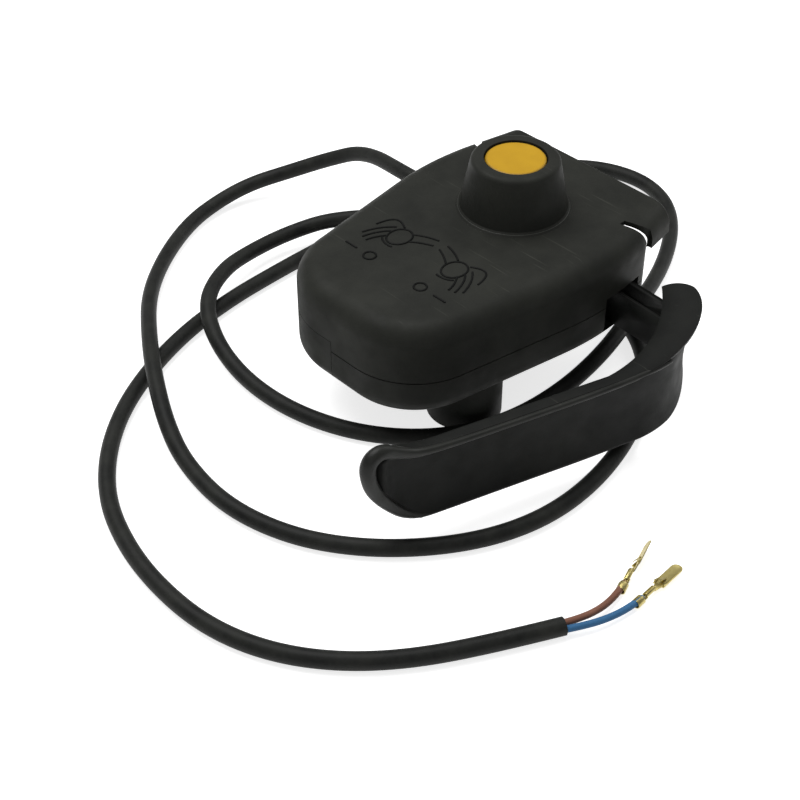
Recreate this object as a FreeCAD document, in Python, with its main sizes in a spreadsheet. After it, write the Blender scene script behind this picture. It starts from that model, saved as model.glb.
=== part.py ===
import FreeCAD, Part
import math
import os
import Sketcher

# A hand-held dead man's switch: a two-shell moulded case on three bosses, a squeeze lever on a vertical pin,
# a push button in a conical collar, two snap switches inside and a two-core cable with crimped terminals.
# Origin: under the button's axis, on the base plane. +X runs from the nose to the rear, +Z is up.

Vec = FreeCAD.Vector
doc = FreeCAD.newDocument("dead_man_switch")
sheet = doc.addObject("Spreadsheet::Sheet", "Dims")
doc.recompute()


class Size:
    """A length that carries its number and the expression that binds it to the sheet."""

    def __init__(self, number, text):
        self.number = number
        self.text = text

    def joined(self, sign, other, number, swapped=False):
        first, second = (as_size(other), self) if swapped else (self, as_size(other))
        return Size(number, "(%s %s %s)" % (first.text, sign, second.text))

    def __add__(self, other):
        return self.joined("+", other, self.number + as_size(other).number)

    def __radd__(self, other):
        return self.joined("+", other, as_size(other).number + self.number, swapped=True)

    def __sub__(self, other):
        return self.joined("-", other, self.number - as_size(other).number)

    def __rsub__(self, other):
        return self.joined("-", other, as_size(other).number - self.number, swapped=True)

    def __mul__(self, other):
        return self.joined("*", other, self.number * as_size(other).number)

    __rmul__ = __mul__

    def __truediv__(self, other):
        return self.joined("/", other, self.number / as_size(other).number)

    def __neg__(self):
        return Size(-self.number, "(-1 * %s)" % self.text)

    def __float__(self):
        return float(self.number)


def least(first, second):
    """Smaller of two sizes."""
    return Size(min(first.number, second.number), "min(%s; %s)" % (first.text, second.text))


def as_size(value):
    return value if isinstance(value, Size) else Size(float(value), repr(float(value)))


rows_used = []


def driving(name, number):
    """Writes one driving dimension into the sheet and returns it as a bound size."""
    rows_used.append(name)
    row = len(rows_used)
    sheet.set("A%d" % row, name)
    sheet.set("B%d" % row, repr(number))
    sheet.setAlias("B%d" % row, name)
    return Size(number, "Dims." + name)


# Case: outline, walls and heights
case_front = driving("case_front", 99.0)
body_rear = driving("body_rear", 32.0)
hood_rear = driving("hood_rear", 46.5)
front_half = driving("front_half", 38.0)
bulge_half = driving("bulge_half", 54.7)
bulge_x = driving("bulge_x", 2.0)
rear_half = driving("rear_half", 46.2)
nose_radius = driving("nose_radius", 32.0)
bulge_radius = driving("bulge_radius", 130.0)
body_corner = driving("body_corner", 9.5)
top_round = driving("top_round", 9.0)
base_round = driving("base_round", 8.0)
case_wall = driving("case_wall", 3.0)
case_bottom = driving("case_bottom", 22.0)
case_height = driving("case_height", 42.0)
parting_rise = driving("parting_rise", 17.5)
parting_line = driving("parting_line", 0.5)
tongue_rise = driving("tongue_rise", 2.5)
tongue_wall = driving("tongue_wall", 1.4)
lap_gap = driving("lap_gap", 0.2)
hood_skirt = driving("hood_skirt", 12.0)
hood_wall = driving("hood_wall", 2.0)
hood_edge = driving("hood_edge", 1.2)
ear_x = driving("ear_x", 34.5)
ear_y = driving("ear_y", 37.5)
ear_radius = driving("ear_radius", 10.2)
ear_slot = driving("ear_slot", 3.2)
notch_floor = driving("notch_floor", 8.5)
reach = driving("cutter_reach", 120.0)

# Bosses, inserts and case screws
boss_radius = driving("boss_radius", 15.6)
boss_front = driving("boss_front", 48.0)
boss_spread = driving("boss_spread", 48.0)
insert_radius = driving("insert_radius", 4.0)
insert_bore = driving("insert_bore", 2.1)
insert_length = driving("insert_length", 14.0)
post_radius = driving("post_radius", 5.0)
post_front = driving("post_front", 21.0)
post_spread = driving("post_spread", 40.0)
screw_radius = driving("screw_radius", 1.9)
screw_length = driving("screw_length", 26.0)
head_radius = driving("head_radius", 3.8)
head_height = driving("head_height", 2.4)
head_sink = driving("head_sink", 0.2)
close_fit = driving("close_fit", 0.05)

# Button, its collar and its return spring
collar_base = driving("collar_base", 22.5)
collar_top = driving("collar_top", 18.2)
collar_height = driving("collar_height", 23.0)
collar_flare = driving("collar_flare", 1.5)
collar_rim = driving("collar_rim", 2.2)
collar_floor = driving("collar_floor", 8.0)
collar_web = driving("collar_web", 3.0)
collar_step = driving("collar_step", 7.0)
button_radius = driving("button_radius", 12.6)
button_gap = driving("button_gap", 0.5)
button_depth = driving("button_depth", 7.0)
button_sink = driving("button_sink", 0.4)
button_wall = driving("button_wall", 2.0)
button_travel = driving("button_travel", 4.0)
stem_radius = driving("stem_radius", 4.0)
clip_radius = driving("clip_radius", 6.5)
clip_height = driving("clip_height", 1.2)
clip_depth = driving("clip_depth", 0.8)
button_coil = driving("button_coil", 7.0)
button_wire = driving("button_wire", 0.5)

# Lever: the pivot, the arm and the bowed blade
pivot_x = driving("pivot_x", 15.0)
pivot_inset = driving("pivot_inset", 28.7)
pin_radius = driving("pin_radius", 3.0)
pin_seat = driving("pin_seat", 5.0)
bush_wall = driving("bush_wall", 1.5)
bush_length = driving("bush_length", 6.0)
hub_radius = driving("hub_radius", 9.0)
hub_height = driving("hub_height", 17.4)
neck_radius = driving("neck_radius", 6.2)
neck_height = driving("neck_height", 7.0)
arm_bottom = driving("arm_bottom", 26.0)
arm_height = driving("arm_height", 16.0)
arm_half = driving("arm_half", 5.5)
arm_reach = driving("arm_reach", 33.0)
arm_slant = driving("arm_slant", 7.5)
arm_sweep = driving("arm_sweep", 2.0)
arm_wall = driving("arm_wall", 2.6)
blade_bottom = driving("blade_bottom", 10.0)
blade_height = driving("blade_height", 32.0)
blade_width = driving("blade_width", 6.6)
blade_wall = driving("blade_wall", 2.4)
blade_lean = driving("blade_lean", 2.6)
bow_radius = driving("bow_radius", 45.0)
bow_x = driving("bow_x", 14.3)
bow_inset = driving("bow_inset", 6.0)
leg_length = driving("leg_length", 114.0)
leg_angle = driving("leg_angle", 16.4)
lobe_angle = driving("lobe_angle", 62.0)
lobe_rise = driving("lobe_rise", 5.0)
lobe_flare = driving("lobe_flare", 4.0)
heel_rise = driving("heel_rise", 17.0)
end_rise = driving("end_rise", 5.0)
end_slant = driving("end_slant", 19.0)
lip_radius = driving("lip_radius", 10.0)
lip_turn = driving("lip_turn", 48.0)
edge_round = driving("edge_round", 1.6)
run_gap = driving("run_gap", 0.35)
window_front = driving("window_front", 9.0)
window_rear = driving("window_rear", 2.0)
window_over = driving("window_over", 1.5)
hub_lift = driving("hub_lift", 1.3)
leg_wire = driving("leg_wire", 0.6)
peg_radius = driving("peg_radius", 1.5)
peg_reach = driving("peg_reach", 10.0)

# Snap switches
switch_length = driving("switch_length", 27.8)
switch_width = driving("switch_width", 10.3)
switch_tall = driving("switch_tall", 15.9)
plunger_radius = driving("plunger_radius", 1.5)
plunger_place = driving("plunger_place", 9.0)
plunger_reach = driving("plunger_reach", 2.9)
cam_reach = driving("cam_reach", 11.0)
cam_offset = driving("cam_offset", 6.0)
tab_length = driving("tab_length", 6.5)
tab_width = driving("tab_width", 4.8)
tab_thick = driving("tab_thick", 0.8)
hole_pitch = driving("hole_pitch", 22.2)
hole_inset = driving("hole_inset", 3.0)
small_screw = driving("small_screw", 1.45)
small_head = driving("small_head", 2.7)
small_head_height = driving("small_head_height", 1.8)
bracket_wall = driving("bracket_wall", 2.6)
bracket_row = driving("bracket_row", 7.0)
switch_post = driving("switch_post", 3.2)

# Cable, grommet, clamp and the stripped end
cable_radius = driving("cable_radius", 3.5)
exit_x = driving("exit_x", 11.0)
grommet_neck = driving("grommet_neck", 6.0)
grommet_flange = driving("grommet_flange", 8.2)
grommet_lip = driving("grommet_lip", 2.2)
grommet_tail = driving("grommet_tail", 5.0)
grommet_tip = driving("grommet_tip", 4.7)
exit_drop = driving("exit_drop", 2.0)
exit_land = driving("exit_land", 5.0)
clamp_width = driving("clamp_width", 17.0)
clamp_deep = driving("clamp_deep", 7.0)
clamp_thick = driving("clamp_thick", 6.5)
clamp_gap = driving("clamp_gap", 0.3)
core_radius = driving("core_radius", 1.35)
terminal_length = driving("terminal_length", 26.0)
blade_tab_width = driving("blade_tab_width", 2.8)
blade_tab_thick = driving("blade_tab_thick", 0.8)
plug_half = driving("plug_half", 12.0)
plug_y = driving("plug_y", 15.0)
plug_rise = driving("plug_rise", 22.0)
plug_gap = driving("plug_gap", 0.2)

doc.recompute()

parting = case_bottom + parting_rise
case_top = case_bottom + case_height
inner_top = case_top - case_wall
inner_floor = case_bottom + case_wall
collar_crown = case_top + collar_height
collar_seat = case_top + collar_floor

nodes = []


def bind(thing, path, size):
    thing.setExpression(path, as_size(size).text)


def place(thing, x, y, z, axis=None, angle=0):
    """Binds a piece's position; a turn about an axis is set first."""
    if axis is not None:
        thing.Placement = FreeCAD.Placement(Vec(0, 0, 0), FreeCAD.Rotation(axis, angle))
    for name, size in zip("xyz", (x, y, z)):
        bind(thing, "Placement.Base." + name, size)
    return thing


def cylinder(name, radius, height, x, y, z, axis=None, angle=0):
    thing = doc.addObject("Part::Cylinder", name)
    bind(thing, "Radius", radius)
    bind(thing, "Height", height)
    return place(thing, x, y, z, axis, angle)


def box(name, length, width, height, x, y, z):
    thing = doc.addObject("Part::Box", name)
    for path, size in zip(("Length", "Width", "Height"), (length, width, height)):
        bind(thing, path, size)
    return place(thing, x, y, z)


def fuse(name, things):
    thing = doc.addObject("Part::MultiFuse", name)
    thing.Shapes = things
    return thing


def cut(name, base, tool):
    thing = doc.addObject("Part::Cut", name)
    thing.Base = base
    thing.Tool = tool
    return thing


def common(name, first, second):
    thing = doc.addObject("Part::Common", name)
    thing.Base = first
    thing.Tool = second
    return thing


def group(name, things):
    """Joins separate like pieces into one node."""
    thing = doc.addObject("Part::Compound", name)
    thing.Links = things
    return thing


def node(thing, label):
    """Marks a finished sub-part: its label names its file."""
    thing.Label = label
    nodes.append(thing)
    return thing


def new_body(name):
    return doc.addObject("PartDesign::Body", name)


def new_sketch(body, name, role, offset=0):
    """Attaches a sketch to one of the body's own origin planes, moved along the plane's normal."""
    sketch = body.newObject("Sketcher::SketchObject", name)
    plane = [feature for feature in body.Origin.OriginFeatures if feature.Role == role][0]
    sketch.AttachmentSupport = [(plane, "")]
    sketch.MapMode = "FlatFace"
    bind(sketch, "AttachmentOffset.Base.z", offset)
    return sketch


def outline(sketch, corners):
    """Draws a closed outline of straight edges with each corner bound to its two sizes."""
    first = sketch.GeometryCount
    spots = [Vec(float(x), float(y), 0) for x, y in corners]
    count = len(spots)
    for index in range(count):
        sketch.addGeometry(Part.LineSegment(spots[index], spots[(index + 1) % count]), False)
    for index in range(count):
        following = (index + 1) % count
        sketch.addConstraint(Sketcher.Constraint("Coincident", first + index, 2, first + following, 1))
    for index, (x, y) in enumerate(corners):
        for kind, size in (("DistanceX", x), ("DistanceY", y)):
            size = as_size(size)
            row = sketch.addConstraint(Sketcher.Constraint(kind, -1, 1, first + index, 1, size.number))
            sketch.setExpression("Constraints[%d]" % row, size.text)


def disc(sketch, x, y, radius):
    """Draws a circle with its centre and radius bound."""
    spot = Vec(float(x), float(y), 0)
    ring = sketch.addGeometry(Part.Circle(spot, Vec(0, 0, 1), float(radius)), False)
    for kind, size in (("DistanceX", x), ("DistanceY", y)):
        size = as_size(size)
        row = sketch.addConstraint(Sketcher.Constraint(kind, -1, 1, ring, 3, size.number))
        sketch.setExpression("Constraints[%d]" % row, size.text)
    row = sketch.addConstraint(Sketcher.Constraint("Radius", ring, float(radius)))
    sketch.setExpression("Constraints[%d]" % row, as_size(radius).text)


def pad(body, sketch, length, name):
    feature = body.newObject("PartDesign::Pad", name)
    feature.Profile = sketch
    bind(feature, "Length", length)
    return feature


def pocket(body, sketch, length, name, upward=True):
    feature = body.newObject("PartDesign::Pocket", name)
    feature.Profile = sketch
    feature.Reversed = upward
    bind(feature, "Length", length)
    return feature


def revolve(body, sketch, name):
    feature = body.newObject("PartDesign::Revolution", name)
    feature.Profile = sketch
    feature.ReferenceAxis = (sketch, ["V_Axis"])
    feature.Angle = 360.0
    return feature


def dress(body, kind, base, path, size, test, name):
    """Rounds or bevels the edges of a feature that pass a test."""
    doc.recompute()
    edges = ["Edge%d" % (i + 1) for i, edge in enumerate(base.Shape.Edges) if test(edge)]
    feature = body.newObject("PartDesign::" + kind, name)
    feature.Base = (base, edges)
    bind(feature, path, size)
    return feature


def is_vertical(edge):
    box_of = edge.BoundBox
    return box_of.ZLength > 1 and box_of.XLength < 0.01 and box_of.YLength < 0.01


def at_height(height):
    def test(edge):
        box_of = edge.BoundBox
        return abs(box_of.ZMin - height) < 0.01 and abs(box_of.ZMax - height) < 0.01
    return test


def is_sharp(solid, edge):
    """Whether the two faces at an edge meet at a clear angle."""
    spot = edge.valueAt((edge.FirstParameter + edge.LastParameter) / 2)
    faces = solid.ancestorsOfType(edge, Part.Face)
    normals = [face.normalAt(*face.Surface.parameter(spot)) for face in faces]
    return len(normals) == 2 and normals[0].getAngle(normals[1]) > math.radians(30)


# Wire forms: straight runs joined by arcs as large as the runs allow
def rounded_route(points):
    """Path through hand-chosen points with a tangent arc at each corner, and its smallest radius."""
    spots = [Vec(*point) for point in points]
    edges = []
    start = spots[0]
    smallest = math.inf
    for before, here, after in zip(spots, spots[1:], spots[2:]):
        back = (before - here).normalize()
        ahead = (after - here).normalize()
        setback = 0.45 * min((before - here).Length, (after - here).Length)
        half_turn = (math.pi - back.getAngle(ahead)) / 2
        radius = setback / math.tan(half_turn)
        smallest = min(smallest, radius)
        enter = here + back * setback
        leave = here + ahead * setback
        inward = (back + ahead).normalize()
        middle = here + inward * (radius / math.cos(half_turn) - radius)
        edges.append(Part.LineSegment(start, enter).toShape())
        edges.append(Part.Arc(enter, middle, leave).toShape())
        start = leave
    edges.append(Part.LineSegment(start, spots[-1]).toShape())
    return Part.Wire(edges), smallest


def coil(name, radius, wire, at_point, height, turns, first_leg=0.0, last_leg=0.0, turned=0):
    """Coil of whole turns with a straight leg tangent to each end where it has one."""
    steps = 14 * turns
    rise = (height - 2 * wire) / steps
    points = []
    for step in range(steps + 1):
        angle = 2 * math.pi * step * turns / steps
        points.append((radius * math.cos(angle), radius * math.sin(angle), rise * step))
    if first_leg:
        points.insert(0, (radius, -first_leg, 0.0))
    if last_leg:
        points.append((radius, last_leg, rise * steps))
    path = rounded_route(points)[0]
    ring = Part.Wire([Part.makeCircle(wire, Vec(*points[0]), Vec(*points[1]) - Vec(*points[0]))])
    feature = doc.addObject("Part::Feature", name)
    feature.Shape = path.makePipeShell([ring], True, False)
    feature.Placement = FreeCAD.Placement(at_point + Vec(0, 0, wire), FreeCAD.Rotation(Vec(0, 0, 1), turned))
    return feature


# The bulge's rounding is limited by the length of the side behind it
front_slope = (bulge_half - front_half) / (case_front + bulge_x)
rear_slope = (bulge_half - rear_half) / (hood_rear - bulge_x)
bulge_round = least(bulge_radius, (body_rear - bulge_x) * 1.6 / (front_slope + rear_slope))


# Case forms: the same outline at several insets gives the outer skin, the lap joint and the hollow
def case_form(name, inset, rear, corner, bottom, top, crown=None, foot=None, edge_radius=None):
    """Solid over the case's outline. Without a corner radius its rear end is square and has no crown."""
    body = new_body(name)
    sketch = new_sketch(body, name + "_plan", "XY_Plane", bottom)
    front_x = inset - case_front
    rear_x = rear - inset
    rear_y = bulge_half + (rear_half - bulge_half) * (rear - bulge_x) / (hood_rear - bulge_x) - inset
    outline(sketch, [(front_x, inset - front_half), (bulge_x, inset - bulge_half), (rear_x, -rear_y),
                     (rear_x, rear_y), (bulge_x, bulge_half - inset), (front_x, front_half - inset)])
    solid = pad(body, sketch, top - bottom, name + "_pad")
    back_x = float(rear_x) - 0.01

    def at_x(x):
        def test(edge):
            return is_vertical(edge) and abs(edge.BoundBox.XMin - float(x)) < 0.01
        return test

    def rounded(base, radius, test, part):
        return dress(body, "Fillet", base, "Radius", radius, test, name + part)

    def sides(edge):
        return at_height(float(top))(edge) and edge.BoundBox.XMin < back_x

    def rear_rim(edge):
        return edge.BoundBox.XMin > back_x and edge.BoundBox.ZMax > float(bottom) + 0.01

    solid = rounded(solid, nose_radius - inset, at_x(front_x), "_nose")
    solid = rounded(solid, bulge_round - inset, at_x(bulge_x), "_bulge")
    if corner is not None:
        solid = rounded(solid, corner - inset, at_x(rear_x), "_corners")
    if crown is not None:
        solid = rounded(solid, crown, sides if corner is None else at_height(float(top)), "_crown")
    if edge_radius is not None:
        solid = rounded(solid, edge_radius, rear_rim, "_rear_edge")
    if foot is not None:
        solid = rounded(solid, foot, at_height(float(bottom)), "_foot")
    return body


body_form = case_form("body_form", as_size(0.0), body_rear, body_corner, case_bottom, case_top,
                      crown=top_round, foot=base_round)
room_form = case_form("room_form", case_wall, body_rear, body_corner, inner_floor, inner_top,
                      crown=top_round - case_wall, foot=base_round - case_wall)
tongue_form = case_form("tongue_form", case_wall - tongue_wall, body_rear, body_corner,
                        parting - parting_line, parting + tongue_rise)
rebate_form = case_form("rebate_form", case_wall - tongue_wall - lap_gap, body_rear, body_corner,
                        parting - parting_line, parting + tongue_rise + lap_gap)

# Hood: the top runs on past the rear wall and is bent down on three sides. At each rear corner of the case a
# notch under the hood and a curved slot leave a rounded ear free.
hood_base = case_top - hood_skirt
hood_under = case_top - hood_wall
notch_bottom = case_top - notch_floor
slot_radius = ear_radius + ear_slot
hood_start = body_rear - body_corner
slot_start = ear_y + ear_radius / 6
slot_end = ear_x - ear_radius * 0.3
hood_form = case_form("hood_form", as_size(0.0), hood_rear, None, hood_base, case_top, crown=top_round,
                      edge_radius=hood_edge)
hood_inner = case_form("hood_inner", hood_wall, hood_rear, None, hood_base, hood_under,
                       crown=top_round - hood_wall)
hood_zone = fuse("hood_zone", [
    box("hood_tail", reach, reach * 2, reach, slot_end, -reach, hood_base),
    box("hood_plate", reach, slot_start * 2, reach, hood_start, -slot_start, hood_base),
    cylinder("near_ear", ear_radius, reach, ear_x, -ear_y, hood_base),
    cylinder("far_ear", ear_radius, reach, ear_x, ear_y, hood_base)])
hood = common("hood", cut("hood_shell", hood_form, hood_inner), hood_zone)


def corner_notch(side):
    """Void under the hood at a rear corner of the case, open upwards only along the ear's slot."""
    low = cylinder("notch_low", slot_radius, hood_under - notch_bottom, ear_x, ear_y * side, notch_bottom)
    high = cylinder("notch_high", slot_radius, reach, ear_x, ear_y * side, notch_bottom)
    edge = slot_start if side > 0 else -slot_start - reach
    zone = box("slot_zone", reach, reach, reach, 0, edge, notch_bottom)
    return fuse("corner_notch", [low, common("slot_void", high, zone)])


def notch_wall(side):
    """What the case's room leaves solid round a notch."""
    low = notch_bottom - case_wall
    return cylinder("notch_wall", slot_radius + case_wall, reach, ear_x, ear_y * side, low)


notches = fuse("corner_notches", [corner_notch(1), corner_notch(-1)])
hollow_form = cut("hollow_form", room_form, fuse("notch_walls", [notch_wall(1), notch_wall(-1)]))
case_block = fuse("case_block", [cut("body_notched", body_form, notches), hood])
case_skin = cut("case_skin", case_block, hollow_form)
upper_zone = box("upper_zone", reach * 3, reach * 2, reach, -reach * 2, -reach, parting)
lower_zone = box("lower_zone", reach * 3, reach * 2, parting - parting_line, -reach * 2, -reach, 0)

# Places that both shells and the small parts share
post_x = post_front - case_front
boss_x = boss_front - case_front
post_spots = [(post_x, -post_spread / 2), (post_x, post_spread / 2), (-15.0, -36.0), (22.0, 20.0)]
boss_spots = [(boss_x, -boss_spread / 2), (boss_x, boss_spread / 2), (as_size(0.0), as_size(0.0))]
pivot_y = bulge_half - pivot_inset
bow_y = bulge_half - bow_inset
pivot_at = (pivot_x, -pivot_y)
screw_seat = case_bottom + head_sink + head_height
screw_tip = screw_seat + screw_length
hub_bottom = arm_bottom + hub_lift
hub_top = hub_bottom + hub_height
neck_top = hub_top + neck_height
spring_radius = neck_radius + 0.4 + leg_wire
peg_x = pivot_x - spring_radius + leg_wire + 0.05
pin_bottom = inner_floor + 0.4
pin_top = neck_top + run_gap + pin_seat
exit_y = bulge_half - exit_drop
land_radius = grommet_flange + grommet_lip / 2
slot_left = pivot_x - arm_half - window_front
slot_length = arm_half * 2 + window_front + window_rear
slot_top = arm_bottom + arm_height + window_over


def lever_window(name):
    """Window in the near wall that the lever's arm swings in."""
    return box(name, slot_length, rear_half, slot_top - inner_floor, slot_left, -bulge_half * 1.1, inner_floor)


def entry_way(name, radius):
    """Cylinder across the far wall on the cable's axis."""
    return cylinder(name, radius, exit_land * 3, exit_x, exit_y - exit_land * 2, parting, Vec(1, 0, 0), -90)


def cable_hole(name):
    return entry_way(name, grommet_neck + close_fit)


def cable_land(name, zone):
    """One shell's half of the flat land that the grommet's flanges bear on."""
    start_y = exit_y - exit_land
    disk = cylinder(name + "_disk", land_radius, exit_land, exit_x, start_y, parting, Vec(1, 0, 0), -90)
    return common(name, disk, zone)


def plug_block(name, gap):
    """Block over the nose that cuts the plug's notch, or with a gap the plug itself."""
    return box(name, case_front / 8 + 1, (plug_half - gap) * 2, plug_rise - gap, -case_front - 1,
               plug_y - plug_half + gap, case_bottom)


# Lower shell: tray with tongue, three bosses, screw posts, pin socket, switch posts and cable cradle
def lower_shell():
    root = case_bottom + 1
    tray = common("lower_skin", case_skin, lower_zone)
    tongue_stop = entry_way("tongue_stop", land_radius + lap_gap)
    tongue = cut("tongue", tongue_form, fuse("tongue_room", [hollow_form, tongue_stop]))
    solids = [tray, tongue, cable_land("lower_land", lower_zone)]
    cuts = [lever_window("lower_window"), cable_hole("lower_cable_hole"), plug_block("lower_notch", 0)]
    for x, y in boss_spots:
        boss = cylinder("boss", boss_radius, case_bottom + base_round, x, y, 0)
        solids.append(cut("boss_foot", boss, hollow_form))
        cuts.append(cylinder("insert_seat", insert_radius + close_fit, insert_length, x, y, 0))
    for x, y in post_spots:
        solids.append(cylinder("lower_post", post_radius, parting - parting_line - root, x, y, root))
        cuts.append(cylinder("screw_way", screw_radius + close_fit, reach, x, y, 0))
        cuts.append(cylinder("head_seat", head_radius + close_fit * 4, head_height + head_sink * 2, x, y,
                             case_bottom - head_sink))
    solids.append(cylinder("pin_post", hub_radius - 1, hub_bottom - run_gap - root, *pivot_at, root))
    cuts.append(cylinder("pin_socket", pin_radius + close_fit, reach, *pivot_at, pin_bottom))
    for spots, top in ((lever_switch_holes, lever_switch_low), (bracket_holes, bracket_low)):
        for x, y in spots:
            solids.append(cylinder("switch_post", switch_post, top - root, x, y, root))
            cuts.append(cylinder("switch_pilot", small_screw + close_fit, reach, x, y, inner_floor))
    cradle_top = parting - clamp_gap
    cradle_left = exit_x - clamp_width / 2
    solids.append(box("cradle", clamp_width, clamp_deep, cradle_top - root, cradle_left, clamp_y, root))
    cuts.append(cylinder("cradle_groove", cable_radius + close_fit, clamp_deep + 2, exit_x, clamp_y - 1,
                         parting, Vec(1, 0, 0), -90))
    for x, y in clamp_holes:
        cuts.append(cylinder("clamp_pilot", small_screw + close_fit, reach, x, y, inner_floor))
    whole = fuse("lower_solid", solids)
    return node(cut("lower_shell_cut", whole, fuse("lower_cuts", cuts)), "lower_shell")


# Upper shell: cover with the button's collar, screw posts and the upper pin post
collar_opening = collar_base - collar_step


def collar_form():
    body = new_body("collar_form")
    sketch = new_sketch(body, "collar_profile", "XZ_Plane")
    bore = button_radius + button_gap
    throat = stem_radius + 0.25
    root = inner_top + 1
    foot = collar_base + collar_flare
    outline(sketch, [(throat, collar_seat - collar_web), (collar_opening, collar_seat - collar_web),
                     (collar_opening, root), (foot, root), (foot, case_top),
                     (collar_base, case_top + collar_flare), (collar_top, collar_crown), (bore, collar_crown),
                     (bore, collar_seat), (throat, collar_seat)])
    solid = revolve(body, sketch, "collar_turn")
    crown = float(collar_crown)
    wide = float(bore) + 1

    def rim(edge):
        return at_height(crown)(edge) and edge.BoundBox.XMax > wide

    dress(body, "Fillet", solid, "Radius", collar_rim, rim, "collar_edge")
    return body


def upper_shell():
    root = inner_top + 1
    cover = common("upper_skin", case_skin, upper_zone)
    solids = [cover, collar_form(), cable_land("upper_land", upper_zone)]
    rebate_room = fuse("rebate_room", [hollow_form, entry_way("rebate_stop", land_radius)])
    cuts = [lever_window("upper_window"), cable_hole("upper_cable_hole"), plug_block("upper_notch", 0),
            cylinder("button_opening", collar_opening, case_wall * 2, 0, 0, inner_top - case_wall),
            cut("rebate", rebate_form, rebate_room)]
    for x, y in post_spots:
        solids.append(cylinder("upper_post", post_radius, root - parting, x, y, parting))
        cuts.append(cylinder("pilot", screw_radius + close_fit, screw_tip + 0.5 - parting, x, y, parting))
    post_bottom = neck_top + run_gap
    solids.append(cylinder("upper_pin_post", hub_radius - 1, root - post_bottom, *pivot_at, post_bottom))
    socket_deep = pin_seat + run_gap
    cuts.append(cylinder("upper_pin_socket", pin_radius + close_fit, socket_deep, *pivot_at, post_bottom))
    peg_low = hub_top - peg_radius
    peg_y = peg_reach - pivot_y
    solids.append(cylinder("spring_peg", peg_radius, root - peg_low, peg_x + peg_radius, peg_y, peg_low))
    whole = fuse("upper_solid", solids)
    return node(cut("upper_shell_cut", whole, fuse("upper_cuts", cuts)), "upper_shell")


# Snap switches: where they lie, and their bodies, plungers and terminals
lever_switch_low = inner_floor + 3.0
lever_face = cam_reach + run_gap + plunger_reach - pivot_y
lever_plunger_x = pivot_x - cam_offset
lever_switch_x = lever_plunger_x - plunger_place
lever_switch_holes = [(lever_switch_x + hole_inset - 0.2, lever_face + switch_tall - hole_inset),
                      (lever_switch_x + hole_inset - 0.2 + hole_pitch, lever_face + switch_tall - hole_inset)]
stem_bottom = inner_top + 1
button_switch_top = stem_bottom - run_gap - button_travel - 0.7
button_switch_low = button_switch_top - switch_tall
bracket_y = -switch_width / 2 - bracket_wall - 0.2
bracket_low = inner_floor + 1.5
bracket_left = plunger_place - switch_length
bracket_holes = [(bracket_left + 1, bracket_y - bracket_row), (bracket_left + 11, bracket_y - bracket_row)]
clamp_y = exit_y - exit_land - clamp_deep - grommet_lip - 1
clamp_holes = [(exit_x - clamp_width / 2 + 2.7, clamp_y + clamp_deep / 2),
               (exit_x + clamp_width / 2 - 2.7, clamp_y + clamp_deep / 2)]


def switch_terminals(name, spots, axis, angle):
    """Three flat tabs that stand out of a switch's back."""
    tabs = []
    for x, y, z in spots:
        tab = box(name + "_tab", tab_width, tab_thick, tab_length, 0, 0, 0)
        tabs.append(place(tab, x, y, z, axis, angle))
    return group(name + "_tabs", tabs)


def lever_switch():
    case = box("lever_switch_case", switch_length, switch_tall, switch_width, lever_switch_x, lever_face,
               lever_switch_low)
    middle = lever_switch_low + switch_width / 2
    cuts = [cylinder("lever_switch_way", plunger_radius + close_fit, plunger_reach * 2, lever_plunger_x,
                     lever_face - 1, middle, Vec(1, 0, 0), -90)]
    for x, y in lever_switch_holes:
        cuts.append(cylinder("lever_switch_hole", small_screw + close_fit, switch_width * 2, x, y,
                             lever_switch_low - 1))
    node(cut("lever_switch_cut", case, fuse("lever_switch_cuts", cuts)), "lever_switch_body")
    stick = cylinder("lever_plunger", plunger_radius, plunger_reach + 2, lever_plunger_x,
                     lever_face - plunger_reach, middle, Vec(1, 0, 0), -90)
    node(stick, "lever_switch_plunger")
    back = lever_face + switch_tall
    spots = [(lever_switch_x + 2 + 9 * k, back, middle + tab_thick / 2) for k in range(3)]
    node(switch_terminals("lever_switch", spots, Vec(1, 0, 0), -90), "lever_switch_terminals")
    seat = lever_switch_low + switch_width
    screws = [small_screw_at(x, y, seat, seat - inner_floor) for x, y in lever_switch_holes]
    node(group("lever_screw_pair", screws), "lever_switch_screws")


def small_screw_at(x, y, seat, length):
    """Pan-head screw standing upright, its head on a seat."""
    head = cylinder("small_head", small_head, small_head_height, x, y, seat)
    shank = cylinder("small_shank", small_screw, length, x, y, seat - length)
    return fuse("small_screw", [head, shank])


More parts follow.
